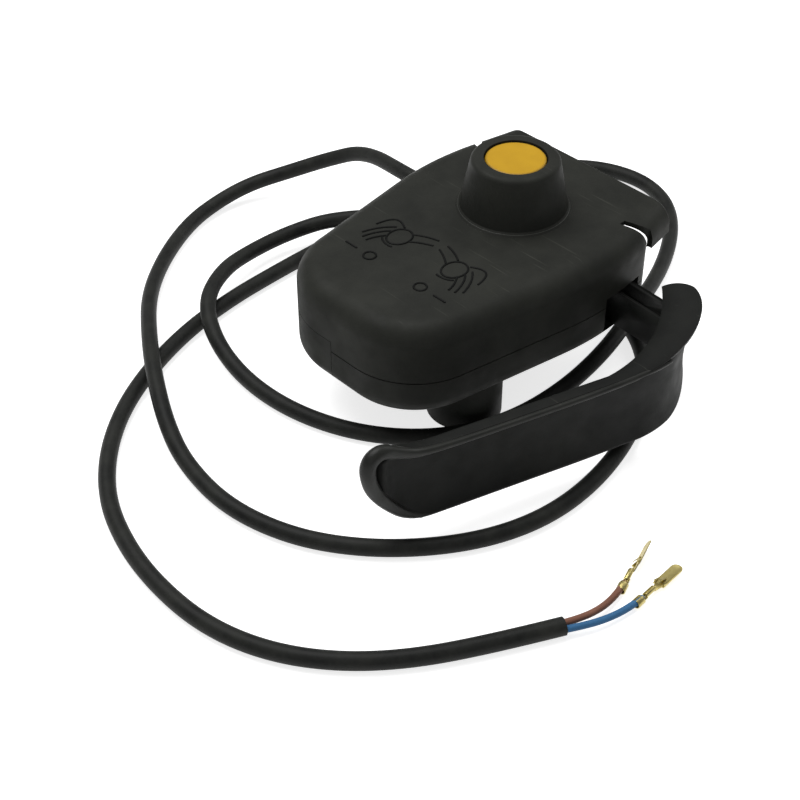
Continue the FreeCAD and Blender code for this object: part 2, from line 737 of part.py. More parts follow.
def button_switch():
    half = switch_width / 2
    left = plunger_place - switch_length
    case = box("button_switch_case", switch_length, switch_width, switch_tall, left, -half, button_switch_low)
    cuts = [cylinder("button_switch_way", plunger_radius + close_fit, button_travel + 3, 0, 0,
                     button_switch_top - button_travel - 2)]
    low = button_switch_low + hole_inset
    rows = [left + hole_inset - 0.2, left + hole_inset - 0.2 + hole_pitch]
    screws = []
    way = small_screw + close_fit
    holes = [cylinder("bracket_hole", way, switch_width, x, y, inner_floor) for x, y in bracket_holes]
    for x in rows:
        cuts.append(cylinder("button_switch_hole", way, switch_width * 2, x, -switch_width, low,
                             Vec(1, 0, 0), -90))
        holes.append(cylinder("bracket_side_hole", way, switch_width, x, -switch_width * 1.5, low,
                              Vec(1, 0, 0), -90))
        head = cylinder("cross_head", small_head, small_head_height, x, half, low, Vec(1, 0, 0), -90)
        shank = cylinder("cross_shank", small_screw, switch_width + bracket_wall, x, bracket_y + 0.2, low,
                         Vec(1, 0, 0), -90)
        screws.append(fuse("cross_screw", [head, shank]))
    node(cut("button_switch_cut", case, fuse("button_switch_cuts", cuts)), "button_switch_body")
    node(group("button_screw_pair", screws), "button_switch_screws")
    stick = cylinder("button_plunger", plunger_radius, button_travel + 2.2, 0, 0,
                     stem_bottom - run_gap - button_travel - 2.2)
    node(stick, "button_switch_plunger")
    spots = [(left + 3 + 9 * k, -tab_thick / 2, button_switch_low - tab_length) for k in range(2)]
    node(switch_terminals("button_switch", spots, Vec(0, 0, 1), 0), "button_switch_terminals")
    deep = -left - 1
    wing_low = lever_switch_low + switch_width + small_head_height + 1
    tall = button_switch_top - bracket_low
    plate = box("bracket_plate", deep, bracket_wall, tall, left, bracket_y, bracket_low)
    wing = box("bracket_wing", switch_length, bracket_wall, button_switch_top - wing_low, left, bracket_y,
               wing_low)
    foot = box("bracket_foot", deep, 12, bracket_wall, left, bracket_y - 12, bracket_low)
    rib = box("bracket_rib", bracket_wall, 9, 16, left + 5, bracket_y - 9, bracket_low)
    node(cut("bracket_cut", fuse("bracket_solid", [plate, wing, foot, rib]), fuse("bracket_holes", holes)),
         "switch_bracket")
    feet = [small_screw_at(x, y, bracket_low + bracket_wall, bracket_low + bracket_wall - inner_floor)
            for x, y in bracket_holes]
    node(group("bracket_screw_pair", feet), "bracket_screws")


# Button: cap with a skirt, stem, spring clip and return spring
def button():
    cap_top = collar_crown - button_sink
    cap_low = cap_top - button_depth
    body = new_body("button_cap_body")
    sketch = new_sketch(body, "button_profile", "XZ_Plane")
    skirt = button_radius - button_wall
    socket = stem_radius + button_wall
    under = cap_top - button_wall
    outline(sketch, [(0, under), (stem_radius + close_fit, under), (stem_radius + close_fit, cap_low + 1.5),
                     (socket, cap_low + 1.5), (socket, under), (skirt, under), (skirt, cap_low),
                     (button_radius, cap_low), (button_radius, cap_top), (0, cap_top)])
    solid = revolve(body, sketch, "button_turn")
    dress(body, "Fillet", solid, "Radius", 0.9, at_height(float(cap_top)), "button_edge")
    node(body, "button_cap")
    clip_top = collar_seat - collar_web - run_gap
    stem = cylinder("stem_rod", stem_radius, under - stem_bottom, 0, 0, stem_bottom)
    clip_low = clip_top - clip_height
    groove = cut("stem_groove", cylinder("groove_outer", stem_radius * 2, clip_height, 0, 0, clip_low),
                 cylinder("groove_inner", stem_radius - clip_depth, clip_height, 0, 0, clip_low))
    node(cut("stem_cut", stem, groove), "button_stem")
    ring = cylinder("clip_ring", clip_radius, clip_height - close_fit * 2, 0, 0, clip_low + close_fit)
    mouth_low = clip_low - clip_height
    gap = fuse("clip_gap", [
        cylinder("clip_bore", stem_radius - clip_depth + close_fit, clip_height * 3, 0, 0, mouth_low),
        box("clip_mouth", clip_radius * 2, stem_radius * 1.2, clip_height * 3, 0, -stem_radius * 0.6,
            mouth_low)])
    node(cut("clip_cut", ring, gap), "button_clip")
    room = float(under - collar_seat)
    node(coil("button_coil_spring", float(button_coil), float(button_wire),
              Vec(0, 0, float(collar_seat) + 0.1), room - 0.2, 3), "button_spring")


# Lever: ribbed arm on the pin's hub, and a bowed blade that is a channel open towards the case
def leg_frame():
    """Outer end of the bow, where the straight leg starts, with the leg's and the outward directions."""
    turn = math.radians(float(leg_angle))
    along = Vec(-math.cos(turn), math.sin(turn), 0)
    outward = Vec(-math.sin(turn), -math.cos(turn), 0)
    centre = Vec(-float(bow_x), -float(bow_y), 0)
    return centre, along, outward


def bow_point(radius, turn):
    """Point of the bow at a radius, its angle counted from straight out to the near side."""
    centre = leg_frame()[0]
    angle = math.radians(turn)
    return centre + Vec(math.sin(angle), -math.cos(angle), 0) * radius


def bow_band(sketch, near, far, flare):
    """Band in plan round the bow, which leans out to its end, along the leg and round the curled free end."""
    centre, along, outward = leg_frame()
    first = -float(leg_angle)
    last = float(lobe_angle)
    turn = math.radians(float(lip_turn))
    curl = float(lip_radius)
    run = along * (float(leg_length) - (curl + far - near) * math.sin(turn))
    curl_centre = centre + outward * (far + curl) + run

    def curl_point(offset, share):
        angle = turn * share
        return curl_centre + (along * math.sin(angle) - outward * math.cos(angle)) * (curl + offset)

    middle = (first + last) / 2
    lean = flare / 4
    thick = far - near
    edges = [Part.Arc(curl_point(0, 1), curl_point(0, 0.5), curl_point(0, 0)),
             Part.LineSegment(curl_point(0, 0), bow_point(far, first)),
             Part.Arc(bow_point(far, first), bow_point(far + lean, middle), bow_point(far + flare, last)),
             Part.LineSegment(bow_point(far + flare, last), bow_point(near + flare, last)),
             Part.Arc(bow_point(near + flare, last), bow_point(near + lean, middle), bow_point(near, first)),
             Part.LineSegment(bow_point(near, first), curl_point(thick, 0)),
             Part.Arc(curl_point(thick, 0), curl_point(thick, 0.5), curl_point(thick, 1)),
             Part.LineSegment(curl_point(thick, 1), curl_point(0, 1))]
    for edge in edges:
        sketch.addGeometry(edge, False)


def web_levels(low, high):
    """Heights and outward shifts that give the web its hollow outer face."""
    lean = float(blade_lean)
    return [(low, lean), (blade_bottom + blade_height * 0.3, lean * 0.15),
            (blade_bottom + blade_height * 0.7, lean * -0.1), (high, 0.0)]


def lever():
    body = new_body("lever_body")
    outer = float(bow_radius)
    inner = outer - float(blade_width)
    crest = blade_bottom + blade_height
    sections = []
    flares = [0.0, 0.0, 0.0, float(lobe_flare)]
    for index, (height, shift) in enumerate(web_levels(blade_bottom, crest + lobe_rise)):
        sketch = new_sketch(body, "blade_level_%d" % index, "XY_Plane", height)
        bow_band(sketch, inner + shift, outer + shift, flares[index])
        sections.append(sketch)
    blade = body.newObject("PartDesign::AdditiveLoft", "blade")
    blade.Profile = sections[0]
    blade.Sections = sections[1:]
    trim = blade_sides(body, crest)
    doc.recompute()
    solid = trim.Shape
    dress(body, "Fillet", trim, "Radius", edge_round, lambda edge: is_sharp(solid, edge), "blade_edges")
    blade_channel(body, inner, outer, crest)
    lever_arm(body)
    node(body, "lever")


def blade_sides(body, crest):
    """Cuts the blade's side view: a top that rises at both ends, a round free end and a rising heel."""
    sketch = new_sketch(body, "blade_side", "XZ_Plane")
    centre, along, outward = leg_frame()
    tip_x = (centre + outward * float(bow_radius) + along * float(leg_length)).x
    top = float(crest)
    foot = float(blade_bottom)
    high = top + float(lobe_rise) + 5
    bow = float(bow_x)
    end_top = top + float(end_rise)
    lobe_top = top + float(lobe_rise)
    rim = [Vec(tip_x - 8, high, 0), Vec(tip_x - 8, end_top, 0), Vec(tip_x + 8, end_top, 0),
           Vec(tip_x + 21, top + 0.8, 0), Vec(tip_x + 34, top, 0), Vec(-bow - 12, top, 0),
           Vec(bow - 3, top + 2.2, 0), Vec(bow + 9, lobe_top, 0), Vec(bow + 40, lobe_top, 0),
           Vec(bow + 40, high, 0)]
    edges = [Part.LineSegment(rim[0], rim[1]), Part.LineSegment(rim[1], rim[2]),
             Part.Arc(rim[2], rim[3], rim[4]), Part.LineSegment(rim[4], rim[5]),
             Part.Arc(rim[5], rim[6], rim[7]), Part.LineSegment(rim[7], rim[8]),
             Part.LineSegment(rim[8], rim[9]), Part.LineSegment(rim[9], rim[0])]
    slant = float(end_slant)
    tail = [Vec(tip_x - 8, end_top + 1, 0), Vec(tip_x - 1, end_top - 1, 0),
            Vec(tip_x + slant * 0.32, top * 0.58, 0), Vec(tip_x + slant, foot, 0),
            Vec(tip_x + slant, foot - 5, 0), Vec(tip_x - 20, foot - 5, 0)]
    edges += [Part.LineSegment(tail[0], tail[1]), Part.Arc(tail[1], tail[2], tail[3]),
              Part.LineSegment(tail[3], tail[4]), Part.LineSegment(tail[4], tail[5]),
              Part.LineSegment(tail[5], tail[0])]
    heel = [Vec(-bow, foot, 0), Vec(bow - 4, foot + 5, 0), Vec(bow + 11, foot + float(heel_rise), 0),
            Vec(bow + 40, foot + float(heel_rise), 0), Vec(bow + 40, foot - 5, 0), Vec(-bow, foot - 5, 0)]
    edges += [Part.Arc(heel[0], heel[1], heel[2]), Part.LineSegment(heel[2], heel[3]),
              Part.LineSegment(heel[3], heel[4]), Part.LineSegment(heel[4], heel[5]),
              Part.LineSegment(heel[5], heel[0])]
    for edge in edges:
        sketch.addGeometry(edge, False)
    trim = body.newObject("PartDesign::Pocket", "blade_trim")
    trim.Profile = sketch
    trim.Type = "ThroughAll"
    trim.Midplane = True
    return trim


def blade_channel(body, inner, outer, crest):
    """Hollows the leg from the inside into three cells with ribs between them."""
    centre, along, outward = leg_frame()
    wall = float(blade_wall)
    cell = (float(leg_length) - 24 - 2 * wall) / 3
    for index in range(3):
        first = 2 + index * (cell + wall)
        sections = []
        for level, (height, shift) in enumerate(web_levels(blade_bottom + blade_wall, crest - blade_wall)):
            sketch = new_sketch(body, "cell_%d_%d" % (index, level), "XY_Plane", height)
            back = centre + outward * (inner + shift - 3)
            front = centre + outward * (outer + shift - wall)
            spots = [back + along * first, front + along * first, front + along * (first + cell),
                     back + along * (first + cell)]
            for k in range(4):
                sketch.addGeometry(Part.LineSegment(spots[k], spots[(k + 1) % 4]), False)
            sections.append(sketch)
        hollow = body.newObject("PartDesign::SubtractiveLoft", "cell_%d" % index)
        hollow.Profile = sections[0]
        hollow.Sections = sections[1:]


def lever_arm(body):
    """Adds the arm's floor and two ribs, the hub with its neck and the cam, and bores the hub."""
    left, right = pivot_x - arm_half, pivot_x + arm_half
    root = -pivot_y
    left_tip = -(bow_y + arm_reach)
    right_tip = left_tip + arm_slant
    floor = new_sketch(body, "arm_floor", "XY_Plane", arm_bottom)
    outline(floor, [(left, root), (left - arm_sweep, left_tip), (right - arm_sweep, right_tip),
                    (right, root)])
    pad(body, floor, arm_wall, "arm_plate")
    for name, x, tip in (("left_rib", left, left_tip), ("right_rib", right - arm_wall, right_tip)):
        rib = new_sketch(body, name, "XY_Plane", arm_bottom)
        outline(rib, [(x, root), (x - arm_sweep, tip), (x - arm_sweep + arm_wall, tip), (x + arm_wall, root)])
        pad(body, rib, arm_height, name + "_pad")
    hub = new_sketch(body, "hub_plan", "XY_Plane", hub_bottom)
    disc(hub, pivot_x, -pivot_y, hub_radius)
    pad(body, hub, hub_height, "hub")
    neck = new_sketch(body, "neck_plan", "XY_Plane", hub_bottom)
    disc(neck, pivot_x, -pivot_y, neck_radius)
    pad(body, neck, hub_height + neck_height, "neck")
    cam = new_sketch(body, "cam_plan", "XY_Plane", lever_switch_low + 1)
    cam_y = cam_reach - pivot_y
    cam_left = pivot_x - cam_reach - 1
    outline(cam, [(cam_left, cam_y), (cam_left, cam_y - 4), (pivot_x - 4, -pivot_y), (pivot_x + 2, -pivot_y),
                  (pivot_x, cam_y)])
    pad(body, cam, switch_width - 2, "cam")
    lug = new_sketch(body, "spring_lug", "XY_Plane", arm_bottom)
    outline(lug, [(peg_x, -pivot_y - 15), (peg_x + 2.4, -pivot_y - 15), (peg_x + 2.4, -pivot_y - 10.5),
                  (peg_x, -pivot_y - 10.5)])
    pad(body, lug, neck_top - 0.3 - arm_bottom, "lug")
    bore = new_sketch(body, "hub_bore", "XY_Plane", arm_bottom - 5)
    disc(bore, pivot_x, -pivot_y, pin_radius + bush_wall + close_fit)
    pocket(body, bore, 60, "hub_way")


def pivot():
    pin = cylinder("pin_rod", pin_radius, pin_top - pin_bottom, pivot_at[0], pivot_at[1], pin_bottom)
    node(pin, "pivot_pin")
    bushes = []
    for low in (hub_bottom, neck_top - bush_length):
        tube = cylinder("bush_tube", pin_radius + bush_wall, bush_length, pivot_at[0], pivot_at[1], low)
        way = cylinder("bush_way", pin_radius + close_fit, bush_length, pivot_at[0], pivot_at[1], low)
        bushes.append(cut("bush", tube, way))
    node(group("bush_pair", bushes), "pivot_bushes")
    wire = float(leg_wire)
    seat = Vec(float(pivot_x), -float(pivot_y), float(hub_top) + 0.3)
    spring = coil("lever_torsion_spring", float(spring_radius), wire, seat, float(neck_height) - 1, 4,
                  13.0, 13.0, 180)
    node(spring, "lever_spring")


# Case screws, inserts and the nose plug
def fasteners():
    screws = []
    for x, y in post_spots:
        head = cylinder("case_head", head_radius, head_height, x, y, case_bottom + head_sink)
        shank = cylinder("case_shank", screw_radius, screw_length, x, y, screw_seat)
        screws.append(fuse("case_screw", [head, shank]))
    node(group("case_screw_set", screws), "case_screws")
    sleeves = []
    for x, y in boss_spots:
        sleeves.append(cut("insert", cylinder("insert_tube", insert_radius, insert_length, x, y, 0),
                           cylinder("insert_way", insert_bore, insert_length, x, y, 0)))
    node(group("insert_set", sleeves), "threaded_inserts")
    ring = cut("plug_ring", body_form, hollow_form)
    node(common("plug_piece", ring, plug_block("plug_zone", plug_gap)), "nose_plug")


# Cable entry: grommet in the wall, clamp inside
def cable_entry():
    body = new_body("grommet_body")
    sketch = new_sketch(body, "grommet_profile", "XY_Plane", parting)
    way = exit_x + cable_radius + close_fit
    wall_in = exit_y - exit_land - close_fit
    wall_out = exit_y + close_fit
    lip_in = wall_in - grommet_lip
    lip_out = wall_out + grommet_lip
    outline(sketch, [(way, lip_in), (exit_x + grommet_flange, lip_in), (exit_x + grommet_flange, wall_in),
                     (exit_x + grommet_neck, wall_in), (exit_x + grommet_neck, wall_out),
                     (exit_x + grommet_flange, wall_out), (exit_x + grommet_flange, lip_out),
                     (exit_x + grommet_neck, lip_out + 1), (exit_x + grommet_tip, lip_out + grommet_tail),
                     (way, lip_out + grommet_tail)])
    turn = body.newObject("PartDesign::Revolution", "grommet_turn")
    axis_row = sketch.addGeometry(Part.LineSegment(Vec(float(exit_x), 0, 0), Vec(float(exit_x), 10, 0)), True)
    row = sketch.addConstraint(Sketcher.Constraint("DistanceX", -1, 1, axis_row, 1, float(exit_x)))
    sketch.setExpression("Constraints[%d]" % row, exit_x.text)
    sketch.addConstraint(Sketcher.Constraint("Vertical", axis_row))
    turn.Profile = sketch
    turn.ReferenceAxis = (sketch, ["Axis0"])
    turn.Angle = 360.0
    node(body, "cable_grommet")
    low = parting + clamp_gap
    block = box("clamp_block", clamp_width, clamp_deep, clamp_thick, exit_x - clamp_width / 2, clamp_y, low)
    cuts = [cylinder("clamp_groove", cable_radius + close_fit, clamp_deep * 2, exit_x, clamp_y - 1, parting,
                     Vec(1, 0, 0), -90)]
    for x, y in clamp_holes:
        cuts.append(cylinder("clamp_hole", small_screw + close_fit, reach, x, y, inner_floor))
    node(cut("clamp_cut", block, fuse("clamp_cuts", cuts)), "cable_clamp")
    screws = [small_screw_at(x, y, low + clamp_thick, clamp_thick + 8) for x, y in clamp_holes]
    node(group("clamp_screw_pair", screws), "clamp_screws")


# Free cable and its stripped end
def tube(name, label, points, radius):
    path, smallest = rounded_route(points)
    along = Vec(*points[1]) - Vec(*points[0])
    ring = Part.Wire([Part.makeCircle(radius, Vec(*points[0]), along)])
    shape = path.makePipeShell([ring], True, False)
    share = shape.Volume / (math.pi * radius ** 2 * path.Length)
    print("%s: length %.0f mm, smallest radius %.1f mm" % (label, path.Length, smallest))
    if abs(share - 1) > 0.01:
        raise RuntimeError("folded tube: " + label)
    feature = doc.addObject("Part::Feature", name)
    feature.Shape = shape
    return node(feature, label)


cable_route = [
    (11, 37, 39.5), (11, 75, 39.5), (19.5, 112, 32), (13, 132, 21), (1, 147, 12.5), (-14, 157, 8),
    (-31, 160, 5), (-53, 156.5, 3.6), (-79.5, 142, 3.6), (-105, 119.5, 6.5), (-126, 90, 10.7),
    (-140.5, 66.5, 10.7), (-151, 46, 6.4), (-158.5, 24.5, 3.6), (-162, -5, 3.5), (-155.5, -33, 3.5),
    (-141.5, -56, 3.5), (-121, -75.5, 3.5), (-97.5, -89, 3.5), (-72, -95, 3.5), (-43, -93, 3.5),
    (-14, -84, 3.5), (14, -68, 3.5), (33, -47, 3.5), (44, -20, 3.5), (46, 9, 3.5), (39, 38, 3.6),
    (29, 62, 5.6), (15, 84, 10.9), (-9, 104, 10.9), (-29, 112, 8.4), (-50, 113, 8.2), (-72, 107.5, 11),
    (-93, 94, 11.3), (-104, 73, 6.8), (-109, 46, 3.7), (-107, 16, 3.5), (-96, -12, 3.5), (-76, -34, 3.5),
    (-50, -46, 3.6), (-21, -50, 5.6), (8, -49, 10.9), (41, -38, 10.9), (69, -26.5, 5.8), (91, -15.5, 3.6),
    (110, -3, 3.5), (124, 12, 3.5), (130.5, 31, 3.5), (126, 51.5, 3.5), (113, 67.5, 3.5), (95, 79.5, 3.5),
    (70, 89.5, 3.5), (39, 95, 3.5), (8.5, 97.5, 3.5), (-22.5, 98, 3.5), (-51.5, 97.5, 3.5),
    (-77.5, 96, 3.5), (-104, 91.5, 3.5), (-131, 82, 3.5), (-156, 68.5, 3.5), (-177, 50.5, 3.5),
    (-193, 28.5, 3.5), (-202, 4, 3.5), (-206, -20.5, 3.5), (-205.5, -46.5, 3.5), (-198.5, -69.5, 3.5),
    (-185.5, -89.5, 3.5), (-166.5, -107, 3.5), (-140.5, -122.5, 3.5), (-113.5, -135.5, 3.5)]
brown_route = [
    (-112.6, -134.4, 3.5), (-106, -137.3, 3.4), (-97, -138.8, 2.9), (-88, -138, 2.4), (-81, -136, 2.1)]
blue_route = [
    (-113.9, -137.2, 3.5), (-106.6, -141, 3.3), (-98, -143.8, 2.7), (-89, -145.2, 2.3), (-82, -145.3, 2.1)]


def crimp_terminal(label, at_point, angle):
    """Crimped blade: insulation wrap, conductor wrap, neck and a pointed blade with a lance hole."""
    wrap = float(core_radius) + 0.45
    long = float(terminal_length)
    width = float(blade_tab_width)
    thick = float(blade_tab_thick)
    barrel = Part.makeCylinder(wrap, 4.5, Vec(-1.5, 0, 0), Vec(1, 0, 0))
    barrel = barrel.cut(Part.makeCylinder(float(core_radius) + 0.12, 1.7, Vec(-1.5, 0, 0), Vec(1, 0, 0)))
    grip = Part.makeCylinder(wrap - 0.5, 5.0, Vec(3.6, 0, 0), Vec(1, 0, 0))
    low = -wrap * 0.8
    floor = Part.makeBox(9.5, width * 0.8, thick, Vec(2, -width * 0.4, low))
    throat = Part.makeBox(7, width * 1.7, thick, Vec(9, -width * 0.85, low))
    wing_places = (width * 0.85 - thick, -width * 0.85)
    wings = [Part.makeBox(5.6, thick, 3.0, Vec(9.6, wing_y, low)) for wing_y in wing_places]
    shape_points = [Vec(14, -width / 2, low), Vec(long - 3, -width / 2, low), Vec(long, -width / 6, low),
                    Vec(long, width / 6, low), Vec(long - 3, width / 2, low), Vec(14, width / 2, low)]
    blade = Part.Face(Part.makePolygon(shape_points + shape_points[:1])).extrude(Vec(0, 0, thick))
    shape = barrel.multiFuse([grip, floor, throat, blade] + wings).removeSplitter()
    shape = shape.cut(Part.makeCylinder(0.6, thick * 4, Vec(long - 7, 0, low - thick), Vec(0, 0, 1)))
    feature = doc.addObject("Part::Feature", label + "_piece")
    feature.Shape = shape
    feature.Placement = FreeCAD.Placement(Vec(*at_point), FreeCAD.Rotation(Vec(0, 0, 1), angle))
    return node(feature, label)


def free_cable():
    tube("cable_tube", "cable", cable_route, float(cable_radius))
    tube("brown_tube", "core_brown", brown_route, float(core_radius))
    tube("blue_tube", "core_blue", blue_route, float(core_radius))
    crimp_terminal("terminal_brown", brown_route[-1], 19)
    crimp_terminal("terminal_blue", blue_route[-1], 3)


lower_shell()
upper_shell()
lever_switch()
button_switch()
button()
lever()
pivot()
fasteners()
cable_entry()
free_cable()
doc.recompute()

failed = [thing.Label for thing in doc.Objects if "Invalid" in thing.State or "Error" in thing.State]
if failed:
    raise RuntimeError("failed objects: " + ", ".join(failed))
for thing in nodes:
    if thing.Shape.isNull() or not thing.Shape.isValid() or not thing.Shape.Solids:
        raise RuntimeError("bad shape: " + thing.Label)

os.makedirs("parts", exist_ok=True)
for thing in nodes:
    thing.Shape.exportStep("parts/%s.step" % thing.Label)
    print("%-26s %2d solids %10.1f mm3" % (thing.Label, len(thing.Shape.Solids), thing.Shape.Volume))
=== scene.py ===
import math

import bpy
from mathutils import Matrix, Vector


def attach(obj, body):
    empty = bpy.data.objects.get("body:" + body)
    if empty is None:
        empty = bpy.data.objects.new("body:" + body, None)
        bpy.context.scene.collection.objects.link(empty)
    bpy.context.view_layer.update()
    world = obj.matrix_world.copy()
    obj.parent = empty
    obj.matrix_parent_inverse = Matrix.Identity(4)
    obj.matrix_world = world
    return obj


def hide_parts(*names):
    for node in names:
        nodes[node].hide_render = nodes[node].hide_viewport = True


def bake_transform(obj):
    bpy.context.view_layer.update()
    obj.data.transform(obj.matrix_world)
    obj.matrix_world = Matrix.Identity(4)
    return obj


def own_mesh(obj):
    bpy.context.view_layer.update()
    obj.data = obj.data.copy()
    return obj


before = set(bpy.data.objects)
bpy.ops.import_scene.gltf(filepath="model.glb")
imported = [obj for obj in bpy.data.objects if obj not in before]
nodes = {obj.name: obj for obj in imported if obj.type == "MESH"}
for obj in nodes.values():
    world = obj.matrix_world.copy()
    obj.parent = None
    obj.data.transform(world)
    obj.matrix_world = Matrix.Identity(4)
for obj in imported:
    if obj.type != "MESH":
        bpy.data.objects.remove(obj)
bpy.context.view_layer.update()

# Case shells: a tray with three round bosses and a cover with the button's collar and the rear hood.
# Both are injection mouldings in black nylon, and the parting line between them stays open half a millimetre.
# The spark-eroded mould leaves a fine matt grain; hands rub the edges smoother, and their paler skin is partly
# that rubbing and partly a painted highlight.
mm = 0.001
case_edge = 0.5 * mm


def srgb(code):
    """Linear colour of a six-digit sRGB code."""
    parts = [int(code[i:i + 2], 16) / 255 for i in (0, 2, 4)]
    return [c / 12.92 if c <= 0.04045 else ((c + 0.055) / 1.055) ** 2.4 for c in parts] + [1.0]


def add(owner, kind, inputs, **settings):
    """Adds a shader node to a material or the world; an input that is a socket is linked, any other is set."""
    made = owner.node_tree.nodes.new(kind)
    for name, value in settings.items():
        setattr(made, name, value)
    for name, value in inputs.items():
        socket = made.inputs[name]
        if isinstance(value, bpy.types.NodeSocket):
            owner.node_tree.links.new(value, socket)
        else:
            socket.default_value = value
    return made


def new_material(name, **constants):
    """A material with its Principled surface, whose plain numbers are set on the surface's own sockets."""
    material = bpy.data.materials.new(name)
    material.use_nodes = True
    surface = material.node_tree.nodes["Principled BSDF"]
    for socket, value in constants.items():
        surface.inputs[socket.replace("_", " ")].default_value = value
    return material, surface


def per_mm(size):
    """Texture scale whose features are about a size in millimetres."""
    return 1 / (size * mm)


def moulded_nylon(name, dark, light, roughness, grain, gloss=0.1):
    """Plastic from an eroded mould: matt, with a fine grain, a cloudy tone and faint long rubs on top faces."""
    cloud_size, patch_size, rub_width, rub_length = 26, 9, 1.6, 38
    rub_turn, rub_tone = math.radians(64), srgb("55564f")
    material, surface = new_material(name, Specular_IOR_Level=gloss)
    links = material.node_tree.links
    place = add(material, "ShaderNodeTexCoord", {}).outputs["Object"]
    cloud = add(material, "ShaderNodeTexNoise", {"Vector": place, "Scale": per_mm(cloud_size), "Detail": 5.0,
                                                 "Roughness": 0.62})
    tone = add(material, "ShaderNodeMapRange", {"Value": cloud.outputs["Fac"], "From Min": 0.34,
                                                "From Max": 0.66})
    body = add(material, "ShaderNodeMix", {"Factor": tone.outputs["Result"], 6: srgb(dark), 7: srgb(light)},
               data_type="RGBA")
    drawn = add(material, "ShaderNodeMapping", {"Vector": place, "Rotation": (0.0, 0.0, rub_turn),
                                                "Scale": (per_mm(rub_width), per_mm(rub_length),
                                                          per_mm(rub_width))})
    streak = add(material, "ShaderNodeTexNoise", {"Vector": drawn.outputs["Vector"], "Scale": 1.0,
                                                  "Detail": 2.0})
    rubs = add(material, "ShaderNodeMapRange", {"Value": streak.outputs["Fac"], "From Min": 0.66,
                                                "From Max": 0.8, "To Max": 0.4})
    facing = add(material, "ShaderNodeNewGeometry", {}).outputs["Normal"]
    upward = add(material, "ShaderNodeVectorMath", {0: facing, 1: (0.0, 0.0, 1.0)}, operation="DOT_PRODUCT")
    on_top = add(material, "ShaderNodeMapRange", {"Value": upward.outputs["Value"], "From Min": 0.9,
                                                  "To Max": rubs.outputs["Result"]})
    scuffed = add(material, "ShaderNodeMix", {"Factor": on_top.outputs["Result"], 6: body.outputs[2],
                                              7: rub_tone}, data_type="RGBA")
    links.new(scuffed.outputs[2], surface.inputs["Base Color"])
    patch = add(material, "ShaderNodeTexNoise", {"Vector": place, "Scale": per_mm(patch_size), "Detail": 3.0})
    sheen = add(material, "ShaderNodeMapRange", {"Value": patch.outputs["Fac"], "From Min": 0.3,
                                                 "From Max": 0.7, "To Min": roughness - 0.08,
                                                 "To Max": roughness + 0.08})
    links.new(sheen.outputs["Result"], surface.inputs["Roughness"])
    # The real grain is about 0.1 mm and is drawn coarser so that it shows.
    pits = add(material, "ShaderNodeTexNoise", {"Vector": place, "Scale": per_mm(grain), "Detail": 2.0})
    bump = add(material, "ShaderNodeBump", {"Height": pits.outputs["Fac"], "Strength": 0.35,
                                            "Distance": 0.12 * mm})
    links.new(bump.outputs["Normal"], surface.inputs["Normal"])
    return material


def placed(name, data):
    """New object of a mesh, curve, lamp or camera, in the scene."""
    made = bpy.data.objects.new(name, data)
    bpy.context.scene.collection.objects.link(made)
    return made


def made_active(piece):
    """Leaves one object selected and active."""
    bpy.ops.object.select_all(action="DESELECT")
    piece.select_set(True)
    bpy.context.view_layer.objects.active = piece


def rounded_edges(piece, width, segments, sharp, skin=-1, harden=False):
    """Rounds the active piece's edges that turn more than an angle in degrees; skin is their material slot."""
    edge = piece.modifiers.new("edge", "BEVEL")
    edge.width = width
    edge.segments = segments
    edge.limit_method = "ANGLE"
    edge.angle_limit = math.radians(sharp)
    edge.material = skin
    edge.harden_normals = harden
    bpy.ops.object.modifier_apply(modifier="edge")


def softened(node, name, body, skin, edge_skin, edge_width):
    """Copy of a moulded node whose sharp edges are rounded a little and carry the edge skin: paler as wear and
    painted highlight, or darker as painted seam shade.
    """
    same_spot, flat_turn, smooth_turn = 0.002 * mm, math.radians(0.3), math.radians(32)
    piece = placed(name, nodes[node].data.copy())
    made_active(piece)
    piece.data.materials.clear()
    piece.data.materials.append(skin)
    piece.data.materials.append(edge_skin)
    bpy.ops.mesh.customdata_custom_splitnormals_clear()
    bpy.ops.object.mode_set(mode="EDIT")
    bpy.ops.mesh.select_all(action="SELECT")
    bpy.ops.mesh.remove_doubles(threshold=same_spot)
    bpy.ops.mesh.dissolve_limited(angle_limit=flat_turn)
    bpy.ops.object.mode_set(mode="OBJECT")
    bpy.ops.object.shade_smooth_by_angle(angle=smooth_turn)
    rounded_edges(piece, edge_width, segments=2, sharp=40, skin=1, harden=True)
    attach(piece, body)
    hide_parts(node)
    return piece


# The nylon is a matt grey-black with little gloss; its edge skin is paler with a low sheen, partly from rubbing
# and partly a painted highlight.
case_nylon = moulded_nylon("case_nylon", "242522", "2e2f2b", roughness=0.56, grain=0.55)
# Edge skin: real rubbing together with a painted highlight along the rounded edges.
wear_and_highlight_nylon = moulded_nylon("wear_and_highlight_nylon", "333431", "42433e", roughness=0.36, grain=0.8, gloss=0.45)
softened("lower_shell", "lower_tray", "case", case_nylon, wear_and_highlight_nylon, case_edge)
softened("upper_shell", "upper_cover", "case", case_nylon, wear_and_highlight_nylon, case_edge)

# Nose insert: a blanking piece pressed into a notch of the nose where other versions have a second outlet.
# It is the case's own nylon; its rounded edges are painted a thin dark line, the painted shade of the seam
# round it.
seam_shade_nylon = moulded_nylon("seam_shade_nylon", "0b0c0b", "121312", roughness=0.7, grain=0.7)
softened("nose_plug", "nose_insert", "case", case_nylon, seam_shade_nylon, case_edge)

# Collar bead: the thin ring where the button's collar meets the cover's flat top, left by the joint of two
# mould inserts. It is the cover's own nylon, and its paler skin is a painted highlight along the collar's foot.
# The ring's sizes and the cover's height are in millimetres, as the points of every round line are.
cover_top = 64
bead_ring, bead_lift = 22.9, 0.45
bead_radius = 0.5 * mm
bead_points = 16


